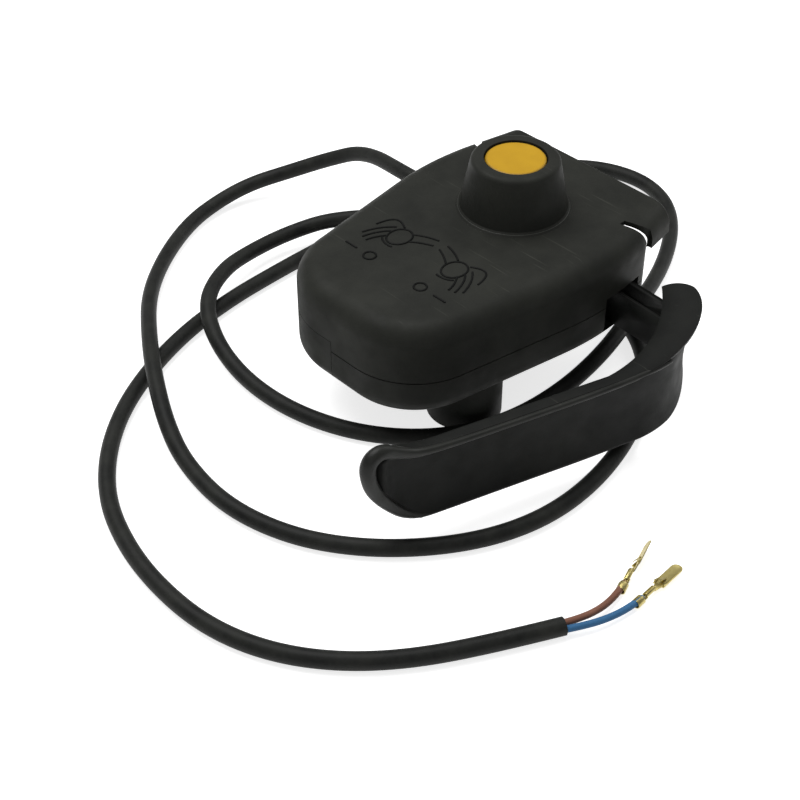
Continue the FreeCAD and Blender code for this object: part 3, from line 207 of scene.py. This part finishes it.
def round_line(name, lines, radius, along, around):
    """Curve of round section through lines of points: x, y, z and, for some, how much the radius swells.

    A line is its points and whether it closes; along and around are the steps of its mesh.
    """
    curve = bpy.data.curves.new(name, "CURVE")
    curve.dimensions = "3D"
    curve.resolution_u = along
    curve.bevel_depth = radius
    curve.bevel_resolution = around
    curve.use_fill_caps = True
    for points, closed in lines:
        line = curve.splines.new("NURBS")
        line.points.add(len(points) - 1)
        for spot, (x, y, z, *swell) in zip(line.points, points):
            spot.co = (x * mm, y * mm, z * mm, 1.0)
            spot.radius = swell[0] if swell else 1.0
        line.order_u = 3
        line.use_endpoint_u = not closed
        line.use_cyclic_u = closed
    return placed(name, curve)


def meshed(piece, skin, smooth):
    """Makes a curve a mesh in one skin, with soft shading up to an angle in degrees."""
    made_active(piece)
    bpy.ops.object.convert(target="MESH")
    mesh_piece = bpy.context.view_layer.objects.active
    bpy.ops.object.shade_smooth_by_angle(angle=math.radians(smooth))
    mesh_piece.data.materials.append(skin)
    return mesh_piece


def ring(x, y, across, along, count):
    """Points round an ellipse in plan."""
    turns = [2 * math.pi * step / count for step in range(count)]
    return [(x + across * math.cos(turn), y + along * math.sin(turn)) for turn in turns]


bead_reach = bead_ring / math.cos(math.pi / bead_points)
bead_line = [(x, y, cover_top + bead_lift) for x, y in ring(0, 0, bead_reach, bead_reach, bead_points)]
bead_curve = round_line("collar_bead", [(bead_line, True)], bead_radius, along=6, around=2)
collar_bead = meshed(bead_curve, wear_and_highlight_nylon, smooth=50)
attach(collar_bead, "case")

# Signs on the cover: the outline of a gripping hand on each side of the nose, with a ring and a bar by it.
# They stand half a millimetre proud, as round ribs that were cut into the mould.
# They are painted darker than the flat, as painted shade along the ribs.
rib_radius = 0.46 * mm
hand_strokes = [
    [(-46, 21.5), (-50.5, 26.5), (-58.5, 28.6)],
    [(-49.5, 21), (-54, 25), (-60.6, 26.2)],
    [(-52.6, 19.6), (-57, 22.8), (-61.2, 23.4)],
    [(-44.3, 18.6), (-41.2, 23), (-44, 28), (-50.5, 28.8)],
    [(-44.8, 12.4), (-41.9, 8.6), (-40.6, 2.6)],
    [(-49.6, 10.4), (-46.4, 6.4), (-44.6, 1.8)],
    [(-55.2, 20.4), (-58, 17.2), (-57.2, 12.8)]]
palm = (-50, 15.6, 6.1, 5.1)
state_ring = (-67.5, 14.4, 2.7, 2.7)
state_bar = [(-67.7, 21.8), (-67.6, 25), (-67.7, 28.2)]
ring_points = 10


def sign_ribs(name, side):
    """Ribs of one side's signs: the far side is +1, and the near side its mirror image."""
    outlines = [(stroke, False) for stroke in hand_strokes + [state_bar]]
    outlines += [(ring(*oval, ring_points), True) for oval in (palm, state_ring)]
    lines = [([(x, side * y, cover_top) for x, y in points], closed) for points, closed in outlines]
    piece = meshed(round_line(name, lines, rib_radius, along=4, around=2), sign_shade_nylon, smooth=40)
    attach(piece, "case")


# Painted shade: the sign ribs are coloured nearly black.
sign_shade_nylon = moulded_nylon("sign_shade_nylon", "0d0e0d", "141514", roughness=0.6, grain=0.9)
sign_ribs("far_signs", 1)
sign_ribs("near_signs", -1)

# Fixings: brass inserts moulded into the bosses and zinc-plated steel screws that hold the shells together.
# The plating is bright with a faint blue and yellow cast; the brass is turned, and warm and bright.
def plated_steel(name, dark, light, roughness):
    """Plated, drawn or turned metal: bright, with a cloudy cast and fine tool marks."""
    cast_size, mark_size = 2.5, 0.35
    material, surface = new_material(name, Metallic=1.0)
    links = material.node_tree.links
    place = add(material, "ShaderNodeTexCoord", {}).outputs["Object"]
    cast = add(material, "ShaderNodeTexNoise", {"Vector": place, "Scale": per_mm(cast_size), "Detail": 3.0})
    tone = add(material, "ShaderNodeMix", {"Factor": cast.outputs["Fac"], 6: srgb(dark), 7: srgb(light)},
               data_type="RGBA")
    links.new(tone.outputs[2], surface.inputs["Base Color"])
    # Real tool marks are a few hundredths of a millimetre and are drawn coarser so that they show.
    marks = add(material, "ShaderNodeTexNoise", {"Vector": place, "Scale": per_mm(mark_size), "Detail": 3.0})
    gloss = add(material, "ShaderNodeMapRange", {"Value": marks.outputs["Fac"], "To Min": roughness - 0.1,
                                                 "To Max": roughness + 0.12})
    links.new(gloss.outputs["Result"], surface.inputs["Roughness"])
    bump = add(material, "ShaderNodeBump", {"Height": marks.outputs["Fac"], "Strength": 0.15,
                                            "Distance": 0.05 * mm})
    links.new(bump.outputs["Normal"], surface.inputs["Normal"])
    return material


def wear(material, *names):
    """Gives CAD nodes their material."""
    for name in names:
        nodes[name].data.materials.clear()
        nodes[name].data.materials.append(material)


zinc_plate = plated_steel("zinc_plate", "a9abad", "c9c8c0", roughness=0.32)
turned_brass = plated_steel("turned_brass", "a88b45", "c9af6a", roughness=0.3)
wear(zinc_plate, "case_screws", "lever_switch_screws", "button_switch_screws", "bracket_screws",
     "clamp_screws")
wear(turned_brass, "threaded_inserts")

# Squeeze lever: one moulding with an arm, a bowed blade hollowed on its inner side and a curled free end.
# The nylon is the case's, but satin and painted darker as shade on the hollow blade; its edges are paler,
# partly finger polish and partly a painted highlight.
# Two corners are trimmed: the free end's upper one, and the bow's top under the lobe. The hub is left whole.
lever_edge = 0.4 * mm
blade_side = -55 * mm
tip_trim, tip_slope = (-132 * mm, -60 * mm, 47 * mm), (-0.74, 0.0, 0.67)
bow_trim, bow_slope = (26 * mm, -74 * mm, 44.6 * mm), (0.036, 0.0, 1.0)
trim_merge = 0.01 * mm


def choose(piece, kind, test):
    """Leaves the vertices, edges or faces that pass a test selected, and the mesh in edit mode."""
    bpy.ops.object.mode_set(mode="OBJECT")
    made_active(piece)
    bpy.ops.object.mode_set(mode="EDIT")
    bpy.ops.mesh.select_mode(type=kind)
    bpy.ops.mesh.select_all(action="DESELECT")
    bpy.ops.object.mode_set(mode="OBJECT")
    mesh = piece.data
    for item in {"VERT": mesh.vertices, "EDGE": mesh.edges, "FACE": mesh.polygons}[kind]:
        item.select = test(item)
    bpy.ops.object.mode_set(mode="EDIT")


def on_blade(face):
    """True for a face of the lever that lies wholly on its blade."""
    return all(squeeze_lever.data.vertices[k].co.y < blade_side for k in face.vertices)


# Painted shade: the lever's nylon is darker than the case's.
shaded_lever_nylon = moulded_nylon("shaded_lever_nylon", "171817", "1f201e", roughness=0.54, grain=0.8)
# Painted highlight: the lever's edge skin is paler than its body.
polish_and_highlight_nylon = moulded_nylon("polish_and_highlight_nylon", "222321", "2d2e2b", roughness=0.4, grain=1.0, gloss=0.2)
squeeze_lever = softened("lever", "squeeze_lever", "lever_body", shaded_lever_nylon, polish_and_highlight_nylon,
                         lever_edge)
made_active(squeeze_lever)
bpy.ops.object.mode_set(mode="EDIT")
bpy.ops.mesh.select_all(action="SELECT")
bpy.ops.mesh.bisect(plane_co=tip_trim, plane_no=tip_slope, use_fill=True, clear_outer=True)
choose(squeeze_lever, "FACE", on_blade)
bpy.ops.mesh.bisect(plane_co=bow_trim, plane_no=bow_slope, use_fill=True, clear_outer=True)
bpy.ops.mesh.select_all(action="SELECT")
bpy.ops.mesh.remove_doubles(threshold=trim_merge)
bpy.ops.mesh.normals_make_consistent(inside=False)
bpy.ops.object.mode_set(mode="OBJECT")

# Lever rim: the rolled edge of the lever's moulding, slim along the top and foot, wide round the free end.
# It is the lever's own nylon with a low sheen where the fingers close on it, and its paler tone is a painted
# highlight.
# A point's last value is the rim's radius there in millimetres.
rim_unit = 1.0 * mm
rim_points = [
    (-8, -93.4, 40.4, 0.6), (-13, -93.6, 40.8, 1.2), (-40, -88, 40.8, 1.2), (-80, -76.3, 40.8, 1.2),
    (-106, -68.6, 41, 1.3), (-118, -65.2, 42.4, 1.7), (-126, -63, 46.2, 2.4), (-132.8, -61.4, 50.2, 3.0),
    (-138.6, -60.8, 47.2, 3.1), (-138.2, -61, 38, 3.0), (-135, -61.6, 30, 2.8), (-129.6, -62.6, 22, 2.4),
    (-124, -64, 15.4, 2.0), (-117, -66, 11.4, 1.5), (-108, -69, 11, 1.1), (-80, -77.4, 11, 1.0),
    (-40, -89.4, 11, 1.0), (-14, -95.2, 11, 1.0), (-4, -93.6, 11.6, 0.8), (2, -89.6, 13, 0.3)]
rim_curve = round_line("lever_rim", [(rim_points, False)], rim_unit, along=8, around=5)
lever_rim = meshed(rim_curve, polish_and_highlight_nylon, smooth=50)
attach(lever_rim, "lever_body")

# Lever lobe: the bow end of the lever, where the blade's top widens into a paddle that slopes to the arm.
# It is part of the same moulding, a shell two millimetres thick with its edges polished by the hand and painted
# paler as a highlight.
# Each row of its net runs from the outer edge to the inner one, and the rows go from the leg round the bow.
lobe_net = [
    [(-40, -87.6, 40.6), (-39.4, -85.6, 41.4), (-38.8, -83.8, 41.4), (-38.2, -82, 40.6)],
    [(-8, -100.8, 41), (-9, -96, 43.2), (-10, -92, 43.2), (-11, -88, 42.2)],
    [(23.5, -90.6, 48), (20, -84, 48.6), (15.5, -79, 46.4), (11, -74.5, 42.3)],
    [(28.2, -74.6, 47.6), (28.4, -70.6, 47.6), (26.6, -65, 46.2), (23.6, -62, 43.4)]]
lobe_shell, lobe_edge, lobe_start = 2.2 * mm, 0.7 * mm, 20 * mm


def walled(piece, thickness):
    """Gives the active sheet a wall on its inner side."""
    wall = piece.modifiers.new("wall", "SOLIDIFY")
    wall.thickness = thickness
    wall.offset = -1
    bpy.ops.object.modifier_apply(modifier="wall")


bpy.ops.object.select_all(action="DESELECT")
bpy.ops.surface.primitive_nurbs_surface_surface_add(radius=lobe_start)
lever_lobe = bpy.context.view_layer.objects.active
lever_lobe.name = "lever_lobe"
lobe_sheet = lever_lobe.data.splines[0]
for spot, (x, y, z) in zip(lobe_sheet.points, [corner for row in lobe_net for corner in row]):
    spot.co = (x * mm, y * mm, z * mm, 1.0)
lobe_sheet.order_u = lobe_sheet.order_v = 4
lobe_sheet.use_endpoint_u = lobe_sheet.use_endpoint_v = True
lobe_sheet.resolution_u = lobe_sheet.resolution_v = 8
bpy.ops.object.convert(target="MESH")
lever_lobe = bpy.context.view_layer.objects.active
lever_lobe.data.materials.append(shaded_lever_nylon)
lever_lobe.data.materials.append(polish_and_highlight_nylon)
walled(lever_lobe, lobe_shell)
rounded_edges(lever_lobe, lobe_edge, segments=3, sharp=40, skin=1)
bpy.ops.object.shade_smooth_by_angle(angle=math.radians(50))
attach(lever_lobe, "lever_body")

# Lever pivot: a ground steel pin in two turned brass bushes, with a torsion spring of wire round the hub.
# The bushes move with the lever, and the spring twists between the case and the lever.
# Ground steel is bright and even; drawn wire is darker.
ground_steel = plated_steel("ground_steel", "8d9092", "b2b4b6", roughness=0.24)
spring_wire = plated_steel("spring_wire", "6d6f72", "94969a", roughness=0.34)
wear(ground_steel, "pivot_pin")
wear(turned_brass, "pivot_bushes")


def spring_copy(node, name):
    """Copy of a spring node in spring wire, with the node itself hidden."""
    piece = placed(name, nodes[node].data.copy())
    piece.data.materials.clear()
    piece.data.materials.append(spring_wire)
    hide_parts(node)
    return piece


torsion_coil = spring_copy("lever_spring", "torsion_coil")
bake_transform(torsion_coil)

# Snap switches: bought-in switches with a thermoset case, an acetal plunger and brass tabs, held by screws.
# The button's switch sits on a bracket of grey nylon, and the cable's clamp is of the same nylon.
# The thermoset is a cool dark grey, the plunger red with some gloss, and the tabs pale yellow metal.
switch_case = moulded_nylon("switch_case", "26272a", "303135", roughness=0.48, grain=0.5)
bracket_nylon = moulded_nylon("bracket_nylon", "4b4d4f", "56585a", roughness=0.55, grain=0.5)
plunger_acetal = moulded_nylon("plunger_acetal", "8c1b17", "9d2620", roughness=0.36, grain=0.4)
tab_brass = plated_steel("tab_brass", "b59a55", "d0bb7c", roughness=0.28)
wear(switch_case, "lever_switch_body", "button_switch_body")
wear(bracket_nylon, "switch_bracket", "cable_clamp")
wear(plunger_acetal, "lever_switch_plunger", "button_switch_plunger")
wear(tab_brass, "lever_switch_terminals", "button_switch_terminals")

# Push button: a yellow cap on a stem, moulded in ABS that thumbs have dulled, sunk a little in the collar.
# A spring clip holds the stem. The cap is painted darker towards its rim, as painted shade in the gap round it.
button_radius, rim_shade_width = 12.6 * mm, 1.3 * mm
cap_cloud_size, cap_grain_size = 7, 0.7
button_abs, cap_surface = new_material("button_abs", Specular_IOR_Level=0.35)
cap_place = add(button_abs, "ShaderNodeTexCoord", {}).outputs["Object"]
cap_cloud = add(button_abs, "ShaderNodeTexNoise", {"Vector": cap_place, "Scale": per_mm(cap_cloud_size),
                                                   "Detail": 4.0})
cap_tone = add(button_abs, "ShaderNodeMix", {"Factor": cap_cloud.outputs["Fac"], 6: srgb("b98d0c"),
                                             7: srgb("c99d16")}, data_type="RGBA")
cap_flat = add(button_abs, "ShaderNodeVectorMath", {0: cap_place, 1: (1.0, 1.0, 0.0)}, operation="MULTIPLY")
cap_reach = add(button_abs, "ShaderNodeVectorMath", {0: cap_flat.outputs["Vector"]}, operation="LENGTH")
# Painted shade: the cap's colour darkens over its outer rim.
cap_rim_shade = add(button_abs, "ShaderNodeMapRange", {"Value": cap_reach.outputs["Value"],
                                                  "From Min": button_radius - rim_shade_width,
                                                  "From Max": button_radius, "To Max": 0.55})
cap_rim = add(button_abs, "ShaderNodeMix", {"Factor": cap_rim_shade.outputs["Result"], 6: cap_tone.outputs[2],
                                            7: srgb("5a3f08")}, data_type="RGBA")
cap_grain = add(button_abs, "ShaderNodeTexNoise", {"Vector": cap_place, "Scale": per_mm(cap_grain_size),
                                                   "Detail": 2.0})
cap_gloss = add(button_abs, "ShaderNodeMapRange", {"Value": cap_grain.outputs["Fac"], "To Min": 0.34,
                                                   "To Max": 0.52})
cap_bump = add(button_abs, "ShaderNodeBump", {"Height": cap_grain.outputs["Fac"], "Strength": 0.2,
                                              "Distance": 0.08 * mm})
button_abs.node_tree.links.new(cap_rim.outputs[2], cap_surface.inputs["Base Color"])
button_abs.node_tree.links.new(cap_gloss.outputs["Result"], cap_surface.inputs["Roughness"])
button_abs.node_tree.links.new(cap_bump.outputs["Normal"], cap_surface.inputs["Normal"])
wear(button_abs, "button_cap", "button_stem")
wear(spring_wire, "button_clip")

# Return spring: a coil of drawn steel wire under the cap that lifts the button after a press.
# It stands on the case and shortens by the button's travel.
return_coil = spring_copy("button_spring", "return_coil")
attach(return_coil, "case")
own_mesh(return_coil)

# Cable entry: a soft grommet with a tapered tail, moulded in black rubber and snapped into the far wall.
# The rubber is darker and duller than the case.
grommet_rubber = moulded_nylon("grommet_rubber", "141514", "1b1c1b", roughness=0.66, grain=0.6)
wear(grommet_rubber, "cable_grommet")

# Cable: a 7 mm two-core flex in an extruded rubber sheath that the clamp inside holds.
# It comes out of the far wall, drops to the table and lies in two loose turns.
# Its points are those of the solid's route.
cable_radius = 3.5 * mm
cable_points = [
    (11, 37, 39.5), (11, 75, 39.5), (19.5, 112, 32), (13, 132, 21), (1, 147, 12.5), (-14, 157, 8),
    (-31, 160, 5), (-53, 156.5, 3.6), (-79.5, 142, 3.6), (-105, 119.5, 6.5), (-126, 90, 10.7),
    (-140.5, 66.5, 10.7), (-151, 46, 6.4), (-158.5, 24.5, 3.6), (-162, -5, 3.5), (-155.5, -33, 3.5),
    (-141.5, -56, 3.5), (-121, -75.5, 3.5), (-97.5, -89, 3.5), (-72, -95, 3.5), (-43, -93, 3.5),
    (-14, -84, 3.5), (14, -68, 3.5), (33, -47, 3.5), (44, -20, 3.5), (46, 9, 3.5), (39, 38, 3.6),
    (29, 62, 5.6), (15, 84, 10.9), (-9, 104, 10.9), (-29, 112, 8.4), (-50, 113, 8.2), (-72, 107.5, 11),
    (-93, 94, 11.3), (-104, 73, 6.8), (-109, 46, 3.7), (-107, 16, 3.5), (-96, -12, 3.5), (-76, -34, 3.5),
    (-50, -46, 3.6), (-21, -50, 5.6), (8, -49, 10.9), (41, -38, 10.9), (69, -26.5, 5.8), (91, -15.5, 3.6),
    (110, -3, 3.5), (124, 12, 3.5), (130.5, 31, 3.5), (126, 51.5, 3.5), (113, 67.5, 3.5), (95, 79.5, 3.5),
    (70, 89.5, 3.5), (39, 95, 3.5), (8.5, 97.5, 3.5), (-22.5, 98, 3.5), (-51.5, 97.5, 3.5),
    (-77.5, 96, 3.5), (-104, 91.5, 3.5), (-131, 82, 3.5), (-156, 68.5, 3.5), (-177, 50.5, 3.5),
    (-193, 28.5, 3.5), (-202, 4, 3.5), (-206, -20.5, 3.5), (-205.5, -46.5, 3.5), (-198.5, -69.5, 3.5),
    (-185.5, -89.5, 3.5), (-166.5, -107, 3.5), (-140.5, -122.5, 3.5), (-113.5, -135.5, 3.5)]


def extruded_sheath(name, dark, light, roughness, peel_size):
    """Extruded insulation: a smooth skin with a slight orange peel, dusty where it was handled."""
    dust_size = 11
    material, surface = new_material(name, Specular_IOR_Level=0.14)
    links = material.node_tree.links
    place = add(material, "ShaderNodeTexCoord", {}).outputs["Object"]
    dust = add(material, "ShaderNodeTexNoise", {"Vector": place, "Scale": per_mm(dust_size), "Detail": 5.0,
                                                "Roughness": 0.65})
    spread = add(material, "ShaderNodeMapRange", {"Value": dust.outputs["Fac"], "From Min": 0.35,
                                                  "From Max": 0.7})
    tone = add(material, "ShaderNodeMix", {"Factor": spread.outputs["Result"], 6: srgb(dark), 7: srgb(light)},
               data_type="RGBA")
    links.new(tone.outputs[2], surface.inputs["Base Color"])
    gloss = add(material, "ShaderNodeMapRange", {"Value": dust.outputs["Fac"], "To Min": roughness - 0.1,
                                                 "To Max": roughness + 0.14})
    links.new(gloss.outputs["Result"], surface.inputs["Roughness"])
    peel = add(material, "ShaderNodeTexNoise", {"Vector": place, "Scale": per_mm(peel_size), "Detail": 3.0})
    bump = add(material, "ShaderNodeBump", {"Height": peel.outputs["Fac"], "Strength": 0.3,
                                            "Distance": 0.15 * mm})
    links.new(bump.outputs["Normal"], surface.inputs["Normal"])
    return material


sheath_rubber = extruded_sheath("sheath_rubber", "1c1d1c", "2d2e2b", roughness=0.5, peel_size=1.1)
cable = round_line("cable_flex", [(cable_points, False)], cable_radius, along=8, around=6)
cable.data.materials.append(sheath_rubber)
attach(cable, "case")
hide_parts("cable")

# Cores: the brown and the blue wire that leave the stripped sheath, copper strands in extruded insulation.
# The sheath holds one end of each, and a terminal is crimped on the other.
# The colours are soft and a little dusty.
core_radius = 1.35 * mm
core_routes = {
    "brown": [(-112.6, -134.4, 3.5), (-106, -137.3, 3.4), (-97, -138.8, 2.9), (-88, -138, 2.4),
              (-81, -136, 2.1)],
    "blue": [(-113.9, -137.2, 3.5), (-106.6, -141, 3.3), (-98, -143.8, 2.7), (-89, -145.2, 2.3),
             (-82, -145.3, 2.1)]}
core_tones = {"brown": ("7d5748", "8e6655"), "blue": ("3a6892", "4878a4")}
for label, route in core_routes.items():
    insulation = extruded_sheath("insulation_" + label, *core_tones[label], roughness=0.42, peel_size=0.6)
    core = round_line("core_wire_" + label, [(route, False)], core_radius, along=8, around=6)
    core.data.materials.append(insulation)
    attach(core, "case")
    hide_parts("core_" + label)

# Terminals: pale brass blades stamped from sheet, each crimped on its wire with a wide claw on the insulation
# and a narrow one on the strands. The blade has turned-up edges, a round tip and a locking lance.
# Sizes without a unit are in millimetres, along X from the wire's end.
sheet_top, sheet = -0.75, 0.4
sheet_foot = sheet_top - sheet
blade_first, blade_last, blade_half = 9.4, 22.6, 2.35
claws = [(-4.2, -0.6, 1.85, 0.55), (1.4, 6.6, 1.1, 0.5)]
claw_sides, claw_crest, claw_wall = 24, 0.97, 0.3 * mm
strands = [(-0.5, -0.4), (0.0, -0.55), (0.5, -0.4), (-0.35, 0.1), (0.35, 0.1)]
strand_first, strand_last, strand_radius, strand_sides = -0.2, 7.4, 0.22, 8
tie_first, tie_last, tie_half = -1.0, 2.2, 0.9
neck_first, neck_last, neck_half, neck_widening = 6.2, blade_first + 0.6, 0.8, 2.0
tip_round, tip_segments = 0.9 * blade_half, 7
coin_margin, coin_depth = 0.5 * mm, 0.09 * mm
barb_first, barb_bend, barb_last = blade_first + 0.6, blade_first + 2, blade_first + 3.2
barb_half, barb_inset, barb_height, barb_drop = 0.35, 0.3, 0.9, 0.8
lance_first, lance_bend, lance_last = blade_first + 1.6, blade_first + 3, blade_first + 4.6
lance_half, lance_low, lance_high, lance_push = 0.6, sheet_top - 0.1, sheet_top + 0.2, (-0.6, 0, 1.5)
press_edge = 0.07 * mm
stamped_brass = plated_steel("stamped_brass", "a99a5c", "cdc085", roughness=0.4)


def bar(first, last, half, low, high):
    """Rectangular bar of sheet along X, at its size and place."""
    bpy.ops.object.select_all(action="DESELECT")
    bpy.ops.mesh.primitive_cube_add(size=1, location=((first + last) / 2 * mm, 0, (low + high) / 2 * mm),
                                    scale=((last - first) * mm, half * 2 * mm, (high - low) * mm))
    bpy.ops.object.transform_apply(location=True, rotation=True, scale=True)
    return bpy.context.view_layer.objects.active


def rod(first, last, radius, sides, ends, across=0, up=0):
    """Round rod along X, or a tube if its ends are open, at its size and place."""
    bpy.ops.object.select_all(action="DESELECT")
    bpy.ops.mesh.primitive_cylinder_add(vertices=sides, radius=radius * mm, depth=(last - first) * mm,
                                        end_fill_type=ends, rotation=(0, math.pi / 2, 0),
                                        location=((first + last) / 2 * mm, across * mm, up * mm))
    bpy.ops.object.transform_apply(location=True, rotation=True, scale=True)
    return bpy.context.view_layer.objects.active


def pushed(piece, offset, test):
    """Moves the vertices of a piece that pass a test."""
    choose(piece, "VERT", test)
    bpy.ops.transform.translate(value=[step * mm for step in offset])
    bpy.ops.object.mode_set(mode="OBJECT")


def crimped_claw(first, last, radius, dent):
    """One claw: a rolled tube with a dent along its top."""
    claw = rod(first, last, radius, claw_sides, ends="NOTHING")
    pushed(claw, (0, 0, -dent), lambda spot: spot.co.z > radius * claw_crest * mm)
    walled(claw, claw_wall)
    return claw


def widening_neck():
    """Neck between the narrow claw and the blade, wider at the blade."""
    neck = bar(neck_first, neck_last, neck_half, sheet_foot, sheet_top)
    choose(neck, "VERT", lambda spot: spot.co.x > blade_first * mm)
    bpy.ops.transform.resize(value=(1, neck_widening, 1))
    bpy.ops.object.mode_set(mode="OBJECT")
    return neck


def round_blade():
    """Blade with a round tip, pressed a little thinner inside its edge."""
    tip_start, level = blade_last * 0.99, 0.9
    blade = bar(blade_first, blade_last, blade_half, sheet_foot, sheet_top)

    def tip_corner(edge):
        one, other = (blade.data.vertices[k].co for k in edge.vertices)
        return min(one.x, other.x) > tip_start * mm and abs(one.y - other.y) < blade_half * mm

    choose(blade, "EDGE", tip_corner)
    bpy.ops.mesh.bevel(offset=tip_round * mm, segments=tip_segments, affect="EDGES")
    choose(blade, "FACE", lambda face: abs(face.normal.z) > level)
    bpy.ops.mesh.inset(thickness=coin_margin, depth=-coin_depth)
    bpy.ops.object.mode_set(mode="OBJECT")
    return blade


def turned_up_barb(side):
    """Turned-up edge on one side of the blade, which slopes down towards the tip."""
    barb = bar(barb_first, barb_last, barb_half, sheet_foot, sheet_top + barb_height)
    pushed(barb, (0, side * (blade_half - barb_inset), 0), lambda spot: True)
    pushed(barb, (0, 0, -barb_drop), lambda spot: spot.co.z > sheet_top * mm and spot.co.x > barb_bend * mm)
    return barb


def locking_lance():
    """Tongue bent up from the blade."""
    lance = bar(lance_first, lance_last, lance_half, lance_low, lance_high)
    pushed(lance, lance_push, lambda spot: spot.co.x < lance_bend * mm)
    return lance


def stamped_terminal(name, replaced, end, heading, lift, roll):
    """One terminal modelled along X from its wire's end, then rolled about its own axis and laid in place."""
    pieces = [crimped_claw(*claw) for claw in claws]
    pieces.append(bar(tie_first, tie_last, tie_half, sheet_foot, sheet_top))
    pieces += [widening_neck(), round_blade(), turned_up_barb(-1), turned_up_barb(1), locking_lance()]
    pieces += [rod(strand_first, strand_last, strand_radius, strand_sides, ends="NGON", across=across, up=up)
               for across, up in strands]
    bpy.ops.object.select_all(action="DESELECT")
    for piece in pieces:
        piece.select_set(True)
    bpy.context.view_layer.objects.active = pieces[0]
    bpy.ops.object.join()
    whole = bpy.context.view_layer.objects.active
    whole.name = name
    whole.data.name = name
    rounded_edges(whole, press_edge, segments=2, sharp=45)
    whole.matrix_world = (Matrix.Translation(end) @ Matrix.Rotation(heading, 4, "Z")
                          @ Matrix.Rotation(-lift, 4, "Y") @ Matrix.Rotation(roll, 4, "X"))
    bpy.ops.object.transform_apply(location=True, rotation=True, scale=True)
    bpy.ops.object.shade_smooth_by_angle(angle=math.radians(35))
    whole.data.materials.clear()
    whole.data.materials.append(stamped_brass)
    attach(whole, "case")
    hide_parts(replaced)
    return whole


brown_end = Vector(core_routes["brown"][-1]) * mm
blue_end = Vector(core_routes["blue"][-1]) * mm
stamped_terminal("blade_brown", "terminal_brown", brown_end, math.radians(19),
                                 math.radians(5), math.radians(-61.6))
stamped_terminal("blade_blue", "terminal_blue", blue_end, math.radians(3),
                                 math.radians(1.5), math.radians(-8))

# Stage: a pale flat floor that keeps a soft shadow and turns white away from the object, under a white sky.
# One broad lamp hangs overhead, with two weak fills, and the camera stands at the photograph's angle.
floor_size, floor_drop = 6.0, 0.3 * mm
grey_reach, white_reach = 0.35, 1.1
grey_glow, white_glow = 0.74, 1.0
bpy.ops.object.select_all(action="DESELECT")
bpy.ops.mesh.primitive_plane_add(size=floor_size, location=(0, 0, -floor_drop))
floor = bpy.context.view_layer.objects.active
floor.name = "floor"
bpy.ops.object.transform_apply(location=True, rotation=True, scale=True)
# Matt white card takes the shadow; it glows only to camera, mirror and glass rays and adds no diffuse light.
floor_white, floor_surface = new_material("floor_white", Roughness=0.9, Specular_IOR_Level=0.1)
floor_surface.inputs["Base Color"].default_value = srgb("e6e6e6")
rays = add(floor_white, "ShaderNodeLightPath", {}).outputs
mirrored = add(floor_white, "ShaderNodeMath", {0: rays["Is Glossy Ray"], 1: rays["Is Transmission Ray"]},
               operation="MAXIMUM")
seen = add(floor_white, "ShaderNodeMath", {0: rays["Is Camera Ray"], 1: mirrored.outputs["Value"]},
           operation="MAXIMUM")
floor_place = add(floor_white, "ShaderNodeTexCoord", {}).outputs["Object"]
away = add(floor_white, "ShaderNodeVectorMath", {0: floor_place}, operation="LENGTH")
level = add(floor_white, "ShaderNodeMapRange", {"Value": away.outputs["Value"], "From Min": grey_reach,
                                                "From Max": white_reach, "To Min": grey_glow,
                                                "To Max": white_glow})
lit = add(floor_white, "ShaderNodeMath", {0: seen.outputs["Value"], 1: level.outputs["Result"]},
          operation="MULTIPLY")
glow = add(floor_white, "ShaderNodeEmission", {"Strength": lit.outputs["Value"]})
both = add(floor_white, "ShaderNodeAddShader", {0: floor_surface.outputs["BSDF"],
                                                1: glow.outputs["Emission"]})
floor_white.node_tree.links.new(both.outputs["Shader"],
                                floor_white.node_tree.nodes["Material Output"].inputs["Surface"])
floor.data.materials.append(floor_white)

white = (1.0, 1.0, 1.0, 1.0)
sky_fill = 0.24
world = bpy.data.worlds.new("studio")
world.use_nodes = True
sky = world.node_tree.nodes["Background"]
sky.inputs["Color"].default_value = white
sky.inputs["Strength"].default_value = sky_fill
white_sky = add(world, "ShaderNodeBackground", {"Color": white, "Strength": 1.0})
sky_rays = add(world, "ShaderNodeLightPath", {}).outputs
sky_mix = add(world, "ShaderNodeMixShader", {0: sky_rays["Is Camera Ray"], 1: sky.outputs["Background"],
                                             2: white_sky.outputs["Background"]})
world.node_tree.links.new(sky_mix.outputs["Shader"], world.node_tree.nodes["World Output"].inputs["Surface"])
bpy.context.scene.world = world

aim = Vector((-30, -20, 30)) * mm
for name, spot, size, power in [("overhead_lamp", (-0.1, 0.4, 1.2), 1.0, 14.0),
                                ("side_lamp", (0.95, -0.1, 0.7), 0.7, 2.4),
                                ("front_lamp", (-0.9, -0.8, 0.7), 0.8, 0.9)]:
    lamp = bpy.data.lights.new(name, "AREA")
    lamp.size = size
    lamp.energy = power
    holder = placed(name, lamp)
    holder.location = spot
    holder.rotation_euler = (aim - Vector(spot)).to_track_quat("-Z", "Y").to_euler()

viewpoint = Vector((-416.8, -370.2, 431)) * mm
pitch, bearing = math.radians(40.4), math.radians(46.43)
sight_line = Vector((math.cos(bearing) * math.cos(pitch), math.sin(bearing) * math.cos(pitch),
                     -math.sin(pitch)))
camera_data = bpy.data.cameras.new("photo_camera")
camera_data.lens = 72.0
camera_data.sensor_width = 36.0
camera = placed("photo_camera", camera_data)
camera.location = viewpoint
camera.rotation_euler = sight_line.to_track_quat("-Z", "Y").to_euler()
bpy.context.scene.camera = camera
bpy.context.scene.view_settings.view_transform = "Standard"
